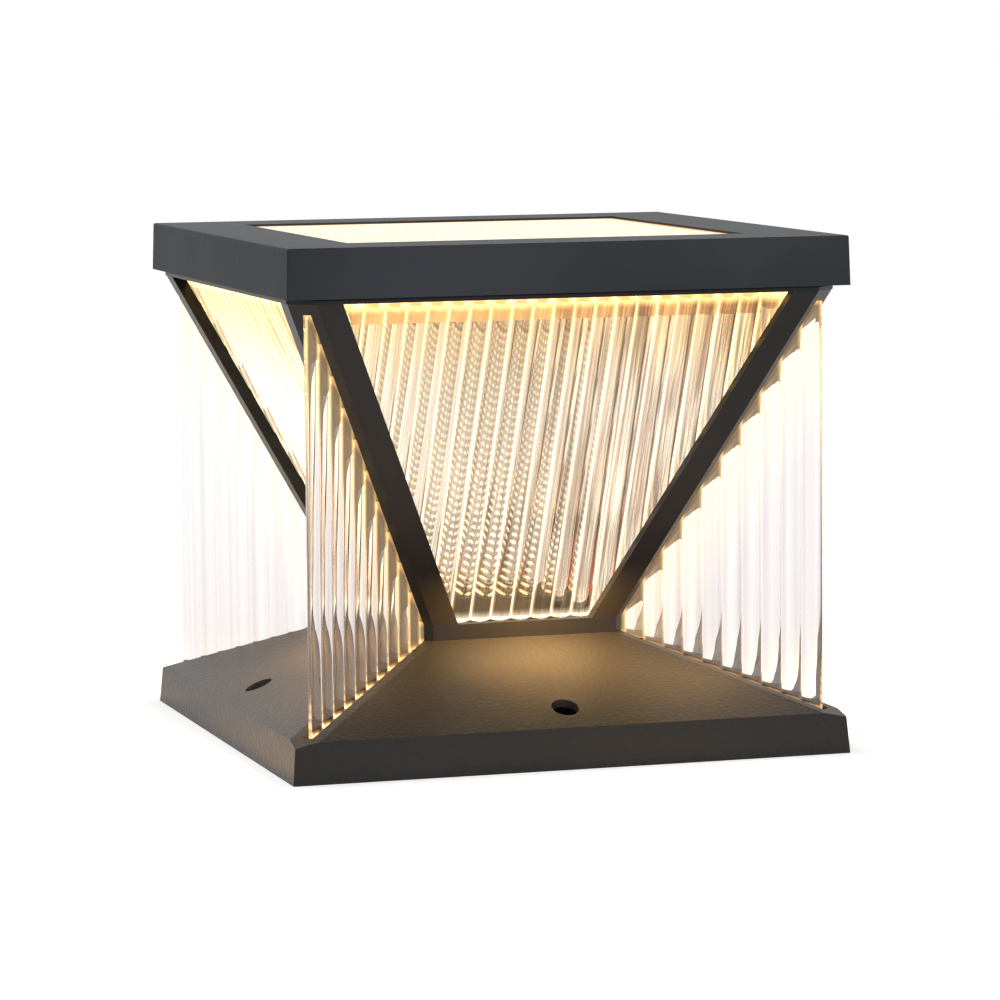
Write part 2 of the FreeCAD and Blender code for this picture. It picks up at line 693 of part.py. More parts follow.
def make_panel(label, quarter):
    """Side panel: a trapezium of clear sheet, fluted up the slope on its outer face."""
    lean_angle = math.atan(size("lean"))
    thick = size("panel_thickness")
    rise = (size("bar_top - collar_top") - size("seat_gap") - thick * math.sin(lean_angle))
    length = rise / math.cos(lean_angle)
    low_reach = size("collar_half") + thick * math.sin(lean_angle) * size("lean")
    low_half = size("collar_half - (bar_arm - bar_rebate + seat_gap)")
    high_half = low_half + length * math.sin(lean_angle)
    pitch = size("panel_pitch")
    sag = size("panel_sag")
    count = 2 * math.ceil(high_half / pitch) + 1
    stock = fluted_stock(label + "_stock", -count * pitch / 2, count, pitch, sag,
                         (thick - sag, 0, False), length)
    blank = doc.addObject("Part::Wedge", label + "_blank")
    blank.Xmin, blank.Xmax = -low_half, low_half
    blank.X2min, blank.X2max = -high_half, high_half
    blank.Ymin, blank.Ymax = 0, length
    blank.Zmin, blank.Zmax = 0, thick
    blank.Z2min, blank.Z2max = 0, thick
    panel = doc.addObject("Part::Common", label)
    panel.Label = label
    panel.Base = stock
    panel.Tool = blank
    back_depth = size("bar_flange + seat_gap") + thick / math.cos(lean_angle)
    foot_height = size("collar_top") + thick * math.sin(lean_angle)
    foot = Placement(Vector(0, back_depth - low_reach, foot_height),
                     Rotation(Vector(1, 0, 0), QUARTER + math.degrees(lean_angle)))
    turn = Placement(Vector(), Rotation(Vector(0, 0, 1), QUARTER * quarter))
    panel.Placement = turn.multiply(foot)
    return panel


def make_fin(label, quarter):
    """Corner fin: upright clear sheet ribbed on both faces, cut to the lantern's corner."""
    body = new_body(label + "_outline")
    foot = "roof_top - fin_seat - ({} - hip_top_r) * hip_fall"
    top = "groove_top - seat_gap"
    back = "fin_groove - seat_gap"
    collar_r = "((2 * collar_half - collar_cut) / sqrt(2) - collar_groove + seat_gap)"
    outline = new_sketch(body, label + "_side", "XZ_Plane", turn=45)
    add_outline(outline, [
        (collar_r, foot.format(collar_r)), ("fin_reach", foot.format("fin_reach")),
        ("fin_reach", top), (f"{facet_r(top)} - ({back})", top),
        (f"{facet_r('collar_top')} - ({back})", "collar_top"), (collar_r, "collar_top"),
    ])
    add_pad(body, outline, "2 * fin_thickness", label + "_plate", both_ways=True)
    pitch = size("fin_pitch")
    reach = size("fin_reach")
    sag = size("fin_sag")
    web = size("fin_thickness") / 2 - sag
    count = math.ceil((reach - size("collar_half")) / pitch)
    stock = fluted_stock(label + "_stock", reach - count * pitch, count, pitch, sag,
                         (web, -web, True), size("bar_top"))
    stock.Placement = Placement(Vector(), Rotation(Vector(0, 0, 1), 45)).multiply(
        Placement(Vector(), Rotation(Vector(1, 0, 0), QUARTER)))
    fin = doc.addObject("Part::Common", label)
    fin.Label = label
    fin.Base = stock
    fin.Tool = body
    fin.Placement = Placement(Vector(), Rotation(Vector(0, 0, 1), QUARTER * quarter))
    return fin


# ---------------------------------------------------------------- cap


def make_cap():
    """Cast cap: drafted sides, a ledged window in its top, lugs in its corners."""
    body = new_body("cap_frame")
    add_frustum(body, "cap_half", "cap_half - cap_draft", "cap_foot", "cap_height", "cap_block")
    round_edges(body, is_cap_edge, "edge_radius", "cap_edges")
    hollow = new_sketch(body, "cap_hollow", height="cap_foot")
    add_outline(hollow, square("cap_inside"))
    cut_pocket(body, hollow, "cap_height - cap_top_wall", "cap_hollow_cut")
    window = new_sketch(body, "window", height="ledge_top")
    add_outline(window, square("window_half"))
    cut_pocket(body, window, "window_depth", "window_cut")
    through = new_sketch(body, "window_through", height="cap_ceiling")
    add_outline(through, square("window_half - window_ledge"))
    cut_pocket(body, through, "cap_top_wall", "window_through_cut")
    lug = new_sketch(body, "cap_lug", height="cap_foot")
    side = "cap_inside + cap_wall / 4"
    add_outline(lug, [(side, f"lug_foot - ({side})"), (side, side), (f"lug_foot - ({side})", side)])
    lugs = add_pad(body, lug, "cap_lug", "cap_lug_pad")
    repeat_round(body, [lugs], name="cap_lugs")
    holes = new_sketch(body, "lug_holes", height="cap_foot")
    for place in corner_places("cap_screw_at"):
        add_circle(holes, place, "screw_radius + hole_play")
    cut_pocket(body, holes, "cap_lug", "lug_bores")
    return body


def is_cap_edge(edge):
    """True for the cap's upright corners and the outer edges of its top."""
    return max(vertex.Z for vertex in edge.Vertexes) > size("cap_top") - 1


def make_cap_parts():
    """Seal, window pane with its tape, and the screws that hold the cap."""
    gasket = ring_body("top_gasket", "gasket_half", "gasket_inside", "ring_top",
                       "gasket_thickness", "ring_cut")
    tape = ring_body("diffuser_seal", "window_half - seat_gap", "window_half - window_ledge",
                     "ledge_top", "pane_seal")
    pane = new_box("top_diffuser",
                   ["pane_width", "pane_width", "pane_thickness"],
                   ["seat_gap - window_half", "seat_gap - window_half", "ledge_top + pane_seal"])
    length = "cap_lug + gasket_thickness + ring_thickness + screw_bite"
    screws = screw_set("cap_screws", corner_places("cap_screw_at"), "screw_radius",
                       ("screw_head_radius", "screw_head_height"), "bar_top - screw_bite", length, True)
    return [gasket, tape, pane, screws]


def make_reflector(label, quarter):
    """Bent strip on the ring: a flange outwards and a leg down behind a panel's top."""
    body = new_body(label)
    section = new_sketch(body, label + "_section", "YZ_Plane")
    face = "-reflector_at"
    back = "reflector_sheet - reflector_at"
    edge = "seat_gap - gasket_inside"
    add_outline(section, [
        (face, "bar_top - reflector_drop"), (back, "bar_top - reflector_drop"),
        (back, "ring_top + reflector_sheet"), (edge, "ring_top + reflector_sheet"),
        (edge, "ring_top"), (face, "ring_top"),
    ])
    add_pad(body, section, "2 * reflector_half", label + "_strip", both_ways=True)
    body.Placement = Placement(Vector(), Rotation(Vector(0, 0, 1), QUARTER * quarter))
    return body


def make_strips():
    """Light strips on the cap's inner walls, with their lights."""
    made = []
    lights = []
    count = int(size("2 * strip_half") // size("strip_pitch"))
    for word, quarter in SIDE_WORDS:
        turn = Placement(Vector(), Rotation(Vector(0, 0, 1), QUARTER * quarter))
        strip = new_box(f"strip_box_{word}", ["2 * strip_half", "board_thickness", "strip_height"],
                        ["-strip_half", "-cap_inside", "strip_top - strip_height"])
        board = doc.addObject("Part::Compound", f"led_strip_{word}")
        board.Label = f"led_strip_{word}"
        board.Links = [strip]
        board.Placement = turn
        made.append(board)
        for i in range(count):
            offset = f"({i} - {(count - 1) / 2}) * strip_pitch - led_size / 2"
            middle = "strip_top - strip_height / 2 - led_size / 2"
            light = new_box(f"strip_led_{word}_{i}", ["led_size", "led_height", "led_size"],
                            [offset, "-strip_at", middle])
            holder = doc.addObject("Part::Compound", f"strip_led_set_{word}_{i}")
            holder.Links = [light]
            holder.Placement = turn
            lights.append(holder)
    return made + [group("strip_leds", lights)]


# ---------------------------------------------------------------- foot light and column


def make_foot_light():
    """Plate, round light board, seat, patterned column and lid on the lantern's axis."""
    plate = new_body("foot_plate")
    outline = new_sketch(plate, "plate_outline", height="roof_top")
    add_outline(outline, square("collar_inside - seat_gap"))
    add_pad(plate, outline, "plate_thickness")
    holes = new_sketch(plate, "plate_holes", height="roof_top")
    for place in lead_places():
        add_circle(holes, place, "lead_radius + lead_play")
    cut_pocket(plate, holes, "plate_thickness", "plate_bores")

    board = new_cylinder("foot_led_board", "board_radius", "board_thickness", ("0", "0"), "plate_top")
    lights = []
    for ring, count in LIGHT_RINGS:
        for i in range(count):
            angle = 360 * i / count
            place = [f"board_radius * {ring} * {wave(angle)} - led_size / 2" for wave in (cosine, sine)]
            name = f"foot_led_{int(100 * ring)}_{i}"
            lights.append(new_box(name, ["led_size", "led_size", "led_height"], place + ["board_top"]))
    leds = group("foot_leds", lights)

    seat = revolved("column_seat", [
        ("column_radius + seat_gap", "plate_top"), ("column_radius + seat_wall", "plate_top"),
        ("column_radius + seat_wall", "plate_top + seat_height - edge_radius"),
        ("column_radius + seat_wall - edge_radius", "plate_top + seat_height"),
        ("column_radius + seat_gap", "plate_top + seat_height"),
    ])
    column = revolved("inner_column", [
        ("column_radius - column_wall", "plate_top"), ("column_radius", "plate_top"),
        ("column_radius", "column_top"), ("column_radius - column_wall", "column_top"),
    ])
    spigot = "column_radius - column_wall - seat_gap"
    lid = revolved("column_lid", [
        ("0", "column_top - lid_spigot"), (spigot, "column_top - lid_spigot"),
        (spigot, "column_top"), ("column_radius", "column_top"),
        ("column_radius", "column_top + lid_thickness"), ("0", "column_top + lid_thickness"),
    ])
    return [plate, board, leds, seat, column, lid]


def cosine(angle):
    """Cosine of an angle in degrees, rounded so that formulas stay short."""
    return round(math.cos(math.radians(angle)), 4)


def sine(angle):
    """Sine of an angle in degrees, rounded so that formulas stay short."""
    return round(math.sin(math.radians(angle)), 4)


def revolved(label, section, place=("0", "0")):
    """A turned piece: a half section in the plane of the axis, turned once round."""
    body = new_body(label)
    sketch = new_sketch(body, label + "_section", "XZ_Plane")
    add_outline(sketch, section)
    turning = body.newObject("PartDesign::Revolution", label + "_turn")
    turning.Profile = sketch
    turning.ReferenceAxis = (sketch, ["V_Axis"])
    turning.Angle = 360
    bind(body, "Placement.Base.x", place[0])
    bind(body, "Placement.Base.y", place[1])
    doc.recompute()
    return body


# ---------------------------------------------------------------- wiring chamber


def make_chamber():
    """Cover, seal, cable gland, terminal block, driver and their screws."""
    cover = new_body("bottom_cover")
    plate = new_sketch(cover, "cover_outline", height="recess_depth")
    add_outline(plate, square("cover_half"))
    add_pad(cover, plate, "cover_thickness")
    holes = new_sketch(cover, "cover_holes", height="recess_depth")
    for place in corner_places("cover_screw_at"):
        add_circle(holes, place, "small_screw_radius + hole_play")
    for place in driver_screw_places():
        add_circle(holes, place, "small_screw_radius + thread_gap")
    add_circle(holes, ("-gland_place", "-gland_place"), "gland_thread_radius + hole_play")
    cut_pocket(cover, holes, "cover_thickness", "cover_bores")

    seal = ring_body("cover_gasket", "chamber_half + chamber_wall", "chamber_half",
                     "cover_top", "cover_seal")
    cover_screws = screw_set(
        "cover_screws", corner_places("cover_screw_at"), "small_screw_radius",
        ("small_head_radius", "small_head_height"), "recess_depth",
        "cover_thickness + cover_seal + cover_screw_bite", False)

    case = new_box("driver_case", ["driver_length", "driver_width", "driver_height"],
                   ["-driver_length / 2", "driver_place - driver_width / 2", "cover_top"])
    tabs = new_box("driver_tabs", ["driver_length + 2 * driver_tab", "driver_width / 2", "tab_thickness"],
                   ["-driver_length / 2 - driver_tab", "driver_place - driver_width / 4", "cover_top"])
    tab_holes = [
        new_cylinder(f"tab_hole_{i}", "small_screw_radius + hole_play", "4 * tab_thickness", place,
                     "cover_top - tab_thickness")
        for i, place in enumerate(driver_screw_places())
    ]
    driver = cut_from("led_driver", fused("driver_blank", [case, tabs]), fused("tab_holes", tab_holes))
    driver_screws = screw_set(
        "driver_screws", driver_screw_places(), "small_screw_radius",
        ("small_head_radius", "small_head_height"), "recess_depth + hole_play",
        "cover_thickness + tab_thickness - hole_play", True)
    return [cover, seal, cover_screws, driver, driver_screws] + make_terminal() + make_gland()


def driver_screw_places():
    """One screw in the middle of each tab of the driver."""
    across = "driver_length / 2 + driver_tab / 2"
    return [(f"-({across})", "driver_place"), (across, "driver_place")]


def make_terminal():
    """Terminal block with a funnel for each wire, and the leads to the driver."""
    low_y = "-gland_place - block_width / 2"
    blank = new_box("block_blank", ["block_length", "block_width", "block_height"],
                    ["block_side - block_length / 2", low_y, "cover_top"])
    funnels = []
    for i in range(BLOCK_WAYS):
        across = f"block_side + ({i} - 1) * block_length / {BLOCK_WAYS}"
        funnels.append(new_cylinder(
            f"block_screw_way_{i}", "block_way_radius", "2 * block_way_depth",
            (across, "-gland_place"), "cover_top + block_height - block_way_depth"))
    block = cut_from("terminal_block", blank, fused("block_ways", funnels))
    leads = []
    for i in range(2):
        lead = doc.addObject("Part::Cylinder", f"link_lead_{i}")
        bind(lead, "Radius", "lead_radius")
        bind(lead, "Height", "driver_place - driver_width / 2 + gland_place - block_width / 2")
        bind(lead, "Placement.Base.x", f"block_side + ({i} - 0.5) * block_length / {BLOCK_WAYS}")
        bind(lead, "Placement.Base.y", "driver_place - driver_width / 2")
        bind(lead, "Placement.Base.z", "cover_top + block_height / 2")
        lead.Placement.Rotation = Rotation(Vector(1, 0, 0), QUARTER)
        leads.append(lead)
    return [block, group("link_leads", leads)]


def hexagon(name, foot, height):
    """An upright hexagonal prism on the gland's axis."""
    made = doc.addObject("Part::Prism", name)
    made.Polygon = 6
    bind(made, "Circumradius", "gland_flats / sqrt(3)")
    bind(made, "Height", height)
    bind(made, "Placement.Base.x", "-gland_place")
    bind(made, "Placement.Base.y", "-gland_place")
    bind(made, "Placement.Base.z", foot)
    return made


def make_gland():
    """Cable gland: threaded body with a fixed hexagon, seal, clamping cap, lock nut."""
    place = ("-gland_place", "-gland_place")
    collar_foot = "(recess_depth - gland_collar)"
    cap_foot = f"({collar_foot} - gland_cap_length)"
    stem_foot = f"({cap_foot} + 2 * gland_mouth)"
    stem_radius = "(gland_thread_radius - gland_step)"
    thread = new_cylinder(
        "gland_thread", "gland_thread_radius",
        "gland_collar + cover_thickness + 1.5 * gland_nut_height", place, collar_foot)
    stem = new_cylinder("gland_stem", stem_radius, f"{collar_foot} - {stem_foot}", place, stem_foot)
    blank = fused("gland_blank", [hexagon("gland_hexagon", collar_foot, "gland_collar"), thread, stem])
    bore = new_cylinder("gland_bore", "cable_radius", "roof_top", place, "-gland_cap_length")
    body = cut_from("gland_body", blank, bore)
    nut_bore = new_cylinder("nut_bore", "gland_thread_radius + thread_gap", "roof_top", place, "0")
    nut = cut_from("gland_nut", hexagon("nut_blank", "cover_top", "gland_nut_height"), nut_bore)
    mouth_top = f"{cap_foot} + gland_mouth"
    cap = revolved("gland_cap", [
        ("cable_radius", cap_foot), ("gland_flats / 2 - gland_mouth", cap_foot),
        ("gland_flats / 2", mouth_top), ("gland_flats / 2", collar_foot),
        (f"{stem_radius} + thread_gap", collar_foot), (f"{stem_radius} + thread_gap", mouth_top),
        ("cable_radius", mouth_top),
    ], place)
    seal = revolved("gland_seal", [
        ("cable_radius", mouth_top), (stem_radius, mouth_top),
        (stem_radius, stem_foot), ("cable_radius", stem_foot),
    ], place)
    return [body, seal, cap, nut]


# ---------------------------------------------------------------- leads


def tube(points, radius, bend):
    """A round lead along straight runs joined by tangent arcs of one radius."""
    spots = [Vector(*point) for point in points]
    edges = []
    start = spots[0]
    for before, corner, after in zip(spots, spots[1:], spots[2:]):
        into = before.sub(corner).normalize()
        out = after.sub(corner).normalize()
        half = into.getAngle(out) / 2
        setback = bend / math.tan(half)
        first = corner.add(into.multiply(setback))
        last = corner.add(out.multiply(setback))
        bisector = first.add(last).multiply(0.5).sub(corner).normalize()
        middle = corner.add(bisector.multiply(bend / math.sin(half) - bend))
        edges.append(Part.makeLine(start, first))
        edges.append(Part.Arc(first, middle, last).toShape())
        start = last
    edges.append(Part.makeLine(start, spots[-1]))
    path = Part.Wire(edges)
    along = spots[1].sub(spots[0])
    profile = Part.Wire(Part.makeCircle(radius, spots[0], along))
    return path.makePipeShell([profile], True, False)


def make_lamp_leads():
    """Leads from the driver to the foot board, up a rear bar to a strip, and round."""
    radius = size("lead_radius")
    driver_top = size("driver_top")
    foot_x, foot_y = (size(formula) for formula in lead_places()[0])
    solids = [Part.makeCylinder(radius, size("plate_top") - driver_top, Vector(foot_x, foot_y, driver_top))]
    side = size(f"({lead_line('plate_top')}) / sqrt(2)")
    high = size("bar_top - 2 * ring_thickness")
    high_side = size(f"({lead_line('bar_top - 2 * ring_thickness')}) / sqrt(2)")
    level = size("strip_top - strip_height / 4")
    board = size("cap_inside - board_thickness / 2")
    end = size("strip_half + lead_radius")
    points = [
        (side, side, driver_top), (side, side, size("plate_top")),
        (high_side, high_side, high), (high_side, high_side, level), (board, end, level),
    ]
    solids.append(tube(points, radius, 6 * radius))
    for sx, sy in CORNERS[1:]:
        start = Vector(sx * board, sy * end, level)
        along = Vector(sx * end, sy * board, level).sub(start)
        solids.append(Part.makeCylinder(radius, along.Length, start, along))
    leads = doc.addObject("Part::Feature", "lamp_leads")
    leads.Label = "lamp_leads"
    leads.Shape = Part.Compound(solids)
    return leads


# ---------------------------------------------------------------- the whole light

pieces = [make_base(), make_collar()]
for place_word, quarter in PLACE_WORDS:
    pieces.append(make_bar("edge_bar_" + place_word, quarter))
    pieces.append(make_fin("corner_fin_" + place_word, quarter))
for side_word, quarter in SIDE_WORDS:
    pieces.append(make_panel("side_panel_" + side_word, quarter))
    pieces.append(make_reflector("reflector_" + side_word, quarter))
pieces.append(screw_set(
    "bar_screws", corner_places("foot_screw_at"), "screw_radius",
    ("screw_head_radius", "screw_head_height"), "ceiling",
    "roof_wall + collar_height + screw_bite", False))
pieces += [make_top_ring(), make_cap()]
pieces += make_cap_parts() + make_strips() + make_foot_light() + make_chamber()
pieces.append(make_lamp_leads())
doc.recompute()

for thing in doc.Objects:
    if any(word in thing.State for word in ("Invalid", "Error")):
        raise ValueError(f"{thing.Label} did not recompute: {thing.State}")

os.makedirs("parts", exist_ok=True)
for piece in pieces:
    if piece.Shape.isNull() or not piece.Shape.isValid():
        raise ValueError(f"{piece.Label} has no valid shape")
    piece.Shape.exportStep(f"parts/{piece.Label}.step")
    print(piece.Label, len(piece.Shape.Solids), round(piece.Shape.Volume, 1))
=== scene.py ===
# %% [markdown]
# # Deck post cap light
#
# This light stands on top of a post. A square cast base carries a lantern that
# widens upwards between four leaning bars, and a flat cap with a lit window closes
# it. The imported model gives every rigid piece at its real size, so the first step
# only loads it. All lengths are in metres, and the front of the light faces -Y.

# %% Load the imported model
import math

import bmesh
import bpy
from mathutils import Matrix, Vector


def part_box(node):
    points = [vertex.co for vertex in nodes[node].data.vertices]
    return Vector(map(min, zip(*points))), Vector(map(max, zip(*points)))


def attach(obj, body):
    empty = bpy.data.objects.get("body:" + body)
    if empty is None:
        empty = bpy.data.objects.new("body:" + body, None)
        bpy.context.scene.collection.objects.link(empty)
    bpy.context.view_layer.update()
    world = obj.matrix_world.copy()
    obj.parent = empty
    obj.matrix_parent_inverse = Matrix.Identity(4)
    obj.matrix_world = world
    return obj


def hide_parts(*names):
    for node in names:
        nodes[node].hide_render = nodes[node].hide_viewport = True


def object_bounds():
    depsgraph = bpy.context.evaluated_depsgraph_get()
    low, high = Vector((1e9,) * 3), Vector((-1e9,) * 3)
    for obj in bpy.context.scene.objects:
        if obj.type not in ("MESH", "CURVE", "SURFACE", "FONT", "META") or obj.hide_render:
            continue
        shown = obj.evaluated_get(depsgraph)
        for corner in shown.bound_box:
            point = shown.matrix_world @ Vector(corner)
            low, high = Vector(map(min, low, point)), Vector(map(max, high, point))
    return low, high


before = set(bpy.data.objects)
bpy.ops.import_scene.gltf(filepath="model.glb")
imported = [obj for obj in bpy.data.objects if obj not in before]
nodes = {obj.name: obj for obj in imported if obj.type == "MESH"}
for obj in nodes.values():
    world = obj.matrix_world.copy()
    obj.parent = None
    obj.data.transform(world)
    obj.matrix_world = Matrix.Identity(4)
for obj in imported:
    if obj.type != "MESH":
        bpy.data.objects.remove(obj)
cad_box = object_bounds()
print("nodes:", len(nodes), "box:", [tuple(round(v, 4) for v in corner) for corner in cad_box])

MM = 0.001
QUARTER = math.pi / 2
SIDES = (("front", 0), ("right", 1), ("back", 2), ("left", 3))
CORNERS = (("front_right", -1), ("back_right", 0), ("back_left", 1), ("front_left", 2))


def turned(quarters, eighth=0.0):
    """Turn about the upright axis by quarter turns, and by an eighth for the corners."""
    return Matrix.Rotation(QUARTER * quarters + eighth, 4, "Z")


# %% [markdown]
# ## Camera
#
# A long lens from a little above the light keeps the upright edges almost parallel.
# The camera's place is written as a turn about the light, a tilt, a slight roll and a
# distance, with small shifts to the right and up. A place and an aim would do as well,
# but these numbers can be read off the vanishing lines of a square object.

# %% Camera
VIEW_TURN = math.radians(-17.203)
VIEW_TILT = math.radians(6.291)
VIEW_ROLL = math.radians(-0.480)
VIEW_DISTANCE = 2.0208
VIEW_RIGHT = 0.0048
VIEW_UP = 0.1021
SENSOR = 36.0
FOCAL_SHARE = 4.4625

back = Vector((
    math.sin(VIEW_TURN) * math.cos(VIEW_TILT),
    -math.cos(VIEW_TURN) * math.cos(VIEW_TILT),
    math.sin(VIEW_TILT),
))
level = Vector((math.cos(VIEW_TURN), math.sin(VIEW_TURN), 0))
upward = back.cross(level)
camera_x = level * math.cos(VIEW_ROLL) + upward * math.sin(VIEW_ROLL)
camera_y = upward * math.cos(VIEW_ROLL) - level * math.sin(VIEW_ROLL)
place = back * VIEW_DISTANCE + level * VIEW_RIGHT + upward * VIEW_UP

camera_data = bpy.data.cameras.new("camera")
camera_data.sensor_width = SENSOR
camera_data.lens = SENSOR * FOCAL_SHARE
camera = bpy.data.objects.new("camera", camera_data)
bpy.context.scene.collection.objects.link(camera)
turn = Matrix((camera_x, camera_y, back)).transposed().to_4x4()
camera.matrix_world = Matrix.Translation(place) @ turn
bpy.context.scene.camera = camera
bpy.context.scene.view_settings.view_transform = "Standard"
print("lens:", round(camera_data.lens, 2), "camera at", tuple(round(v, 3) for v in place))

# %% [markdown]
# ## Small helpers for node trees
#
# Materials and Geometry Nodes are both built from nodes joined by links. Short
# functions keep the rest readable: one sets a socket to a number or links it, another
# adds a node with its inputs, and the others do one sum, one range or one mix.

# %% Node helpers
def feed(tree, socket, value):
    """Link a socket if the value is one, or set it to the value."""
    if isinstance(value, bpy.types.NodeSocket):
        tree.links.new(value, socket)
    else:
        socket.default_value = value


def add_node(tree, kind, settings=None, **inputs):
    """A node with its settings, and with inputs given by socket name."""
    made = tree.nodes.new(kind)
    for name, value in (settings or {}).items():
        setattr(made, name, value)
    for name, value in inputs.items():
        feed(tree, made.inputs[name.replace("_", " ")], value)
    return made


def sums(tree, operation, *values):
    """The result of one sum on sockets or numbers."""
    made = add_node(tree, "ShaderNodeMath", {"operation": operation})
    for socket, value in zip(made.inputs, values):
        feed(tree, socket, value)
    return made.outputs[0]


def spread(tree, value, low, high, to_low=0.0, to_high=1.0, smooth=True):
    """A value mapped from one range to another, and held inside it."""
    kind = "SMOOTHSTEP" if smooth else "LINEAR"
    made = add_node(tree, "ShaderNodeMapRange", {"interpolation_type": kind})
    for socket, number in zip(made.inputs, (value, low, high, to_low, to_high)):
        feed(tree, socket, number)
    return made.outputs[0]


# %% Material helpers
def paint(red, green, blue):
    """A colour given by its screen values from 0 to 255, as the shader's linear one."""
    linear = []
    for value in (red, green, blue):
        share = value / 255
        low = share <= 0.04045
        linear.append(share / 12.92 if low else ((share + 0.055) / 1.055) ** 2.4)
    return (*linear, 1.0)


def blended(tree, share, first, second):
    """Two colours mixed by a share. Sockets 6 and 7 of the node are its colours."""
    made = add_node(tree, "ShaderNodeMix", {"data_type": "RGBA"})
    for index, value in ((0, share), (6, first), (7, second)):
        feed(tree, made.inputs[index], value)
    return made.outputs[2]


def object_place(tree):
    """Object coordinates: the same as real places, because every piece sits at the origin."""
    return tree.nodes.new("ShaderNodeTexCoord").outputs["Object"]


def new_material(name, colour, roughness, **values):
    """A material with one Principled shader. Returns its tree and the shader."""
    made = bpy.data.materials.new(name)
    made.use_nodes = True
    tree = made.node_tree
    shader = tree.nodes["Principled BSDF"]
    feed(tree, shader.inputs["Base Color"], colour)
    feed(tree, shader.inputs["Roughness"], roughness)
    for socket, value in values.items():
        feed(tree, shader.inputs[socket.replace("_", " ")], value)
    return tree, shader


def shine(tree, shader, colour, strength):
    """Let a material give off light of its own."""
    feed(tree, shader.inputs["Emission Color"], colour)
    feed(tree, shader.inputs["Emission Strength"], strength)


def roughen(tree, shader, height, depth):
    """Raise a material's surface by a height from 0 to 1, times a depth."""
    bump = add_node(tree, "ShaderNodeBump", Height=height, Distance=depth)
    feed(tree, shader.inputs["Normal"], bump.outputs[0])


def wear(name, node_names):
    """Give the material to CAD nodes, each through its own slots."""
    material = bpy.data.materials[name]
    for node_name in node_names:
        for slot in nodes[node_name].material_slots:
            slot.material = material


# %% [markdown]
# ## Backdrop, floor and studio light
#
# The product stands on white with hardly a shadow. The backdrop is the world colour
# as the camera, mirrors and clear sheets see it, while the light that falls on the
# object comes from a dimmer world and from soft lamps. The floor adds a glow of its
# own in the same way, so that it looks white and still keeps a faint shadow. The glow
# grows with the distance, where less lamp light falls, and ends at the base's edge.

# %% Backdrop and floor
WHITE = (1, 1, 1, 1)
AMBIENT = 0.36
FLOOR_HALF = 6.0
FLOOR_GREY = (0.8, 0.8, 0.8, 1)
GLOW_REACH = (0.13, 1.8)
GLOW_RANGE = (0.52, 0.74)
BASE_SHADE = 6 * MM


def seen_directly(tree):
    """1 for rays of the camera, of mirrors and through clear sheets, 0 for light that falls."""
    path = tree.nodes.new("ShaderNodeLightPath")
    seen = sums(tree, "MAXIMUM", path.outputs["Is Camera Ray"], path.outputs["Is Glossy Ray"])
    return sums(tree, "MAXIMUM", seen, path.outputs["Is Transmission Ray"])


def furthest_way(tree):
    """How far a place lies from the axis, measured square like the base."""
    parts = add_node(tree, "ShaderNodeSeparateXYZ", Vector=object_place(tree)).outputs
    return sums(tree, "MAXIMUM", sums(tree, "ABSOLUTE", parts[0]), sums(tree, "ABSOLUTE", parts[1]))


world = bpy.data.worlds.new("studio")
world.use_nodes = True
bpy.context.scene.world = world
sky = world.node_tree
strength = spread(sky, seen_directly(sky), 0, 1, AMBIENT, 1.0, smooth=False)
feed(sky, sky.nodes["Background"].inputs["Color"], WHITE)
feed(sky, sky.nodes["Background"].inputs["Strength"], strength)

floor_mesh = bpy.data.meshes.new("floor")
corners = [(-FLOOR_HALF, -FLOOR_HALF), (FLOOR_HALF, -FLOOR_HALF),
           (FLOOR_HALF, FLOOR_HALF), (-FLOOR_HALF, FLOOR_HALF)]
floor_mesh.from_pydata([(x, y, cad_box[0][2]) for x, y in corners], [], [(0, 1, 2, 3)])
floor = bpy.data.objects.new("floor", floor_mesh)
bpy.context.scene.collection.objects.link(floor)
tree, shader = new_material("pale_floor", FLOOR_GREY, 1.0, Specular_IOR_Level=0.0)
way = furthest_way(tree)
open_glow = spread(tree, way, *GLOW_REACH, *GLOW_RANGE, smooth=False)
beyond_base = spread(tree, way, cad_box[1][0] - BASE_SHADE, cad_box[1][0])
own_glow = sums(tree, "MULTIPLY", open_glow, beyond_base)
shine(tree, shader, WHITE, sums(tree, "MULTIPLY", own_glow, seen_directly(tree)))
floor_mesh.materials.append(bpy.data.materials["pale_floor"])

# %% Studio lamps
MIDDLE = (0, 0, 0.11)
STUDIO_LAMPS = (
    # name, place, width, power in watts
    ("key_lamp", (-0.5, -1.9, 1.5), 1.2, 15),
    ("fill_lamp", (1.6, -1.2, 0.9), 1.4, 6),
    ("back_lamp", (-0.9, 1.4, 1.2), 1.2, 8),
)


def area_lamp(name, place, aim, size, power, colour=(1, 1, 1), mirrored=True):
    """A flat lamp of a length and a width at a place, aimed at a point."""
    data = bpy.data.lights.new(name, "AREA")
    data.shape = "RECTANGLE"
    data.size, data.size_y = size
    data.energy = power
    data.color = colour
    lamp = bpy.data.objects.new(name, data)
    facing = (Vector(aim) - Vector(place)).to_track_quat("-Z", "Y").to_matrix().to_4x4()
    lamp.matrix_world = Matrix.Translation(place) @ facing
    lamp.visible_camera = False
    lamp.visible_transmission = False
    lamp.visible_glossy = mirrored
    bpy.context.scene.collection.objects.link(lamp)


for name, place, width, power in STUDIO_LAMPS:
    area_lamp(name, place, MIDDLE, (width, width), power)

# %% [markdown]
# ## Powder coat
#
# The castings wear a dark textured powder coat. On the base its grain is coarse, like
# leather; on the cap it is softer, and on the bars and the collar only a fine roughness
# is left. The grain could be carved into the mesh, but it is far finer than any edge
# and never shows in outline, so a bump is enough. One node group makes the grain's
# height and a slight change of tone, and each material places it with its own values.

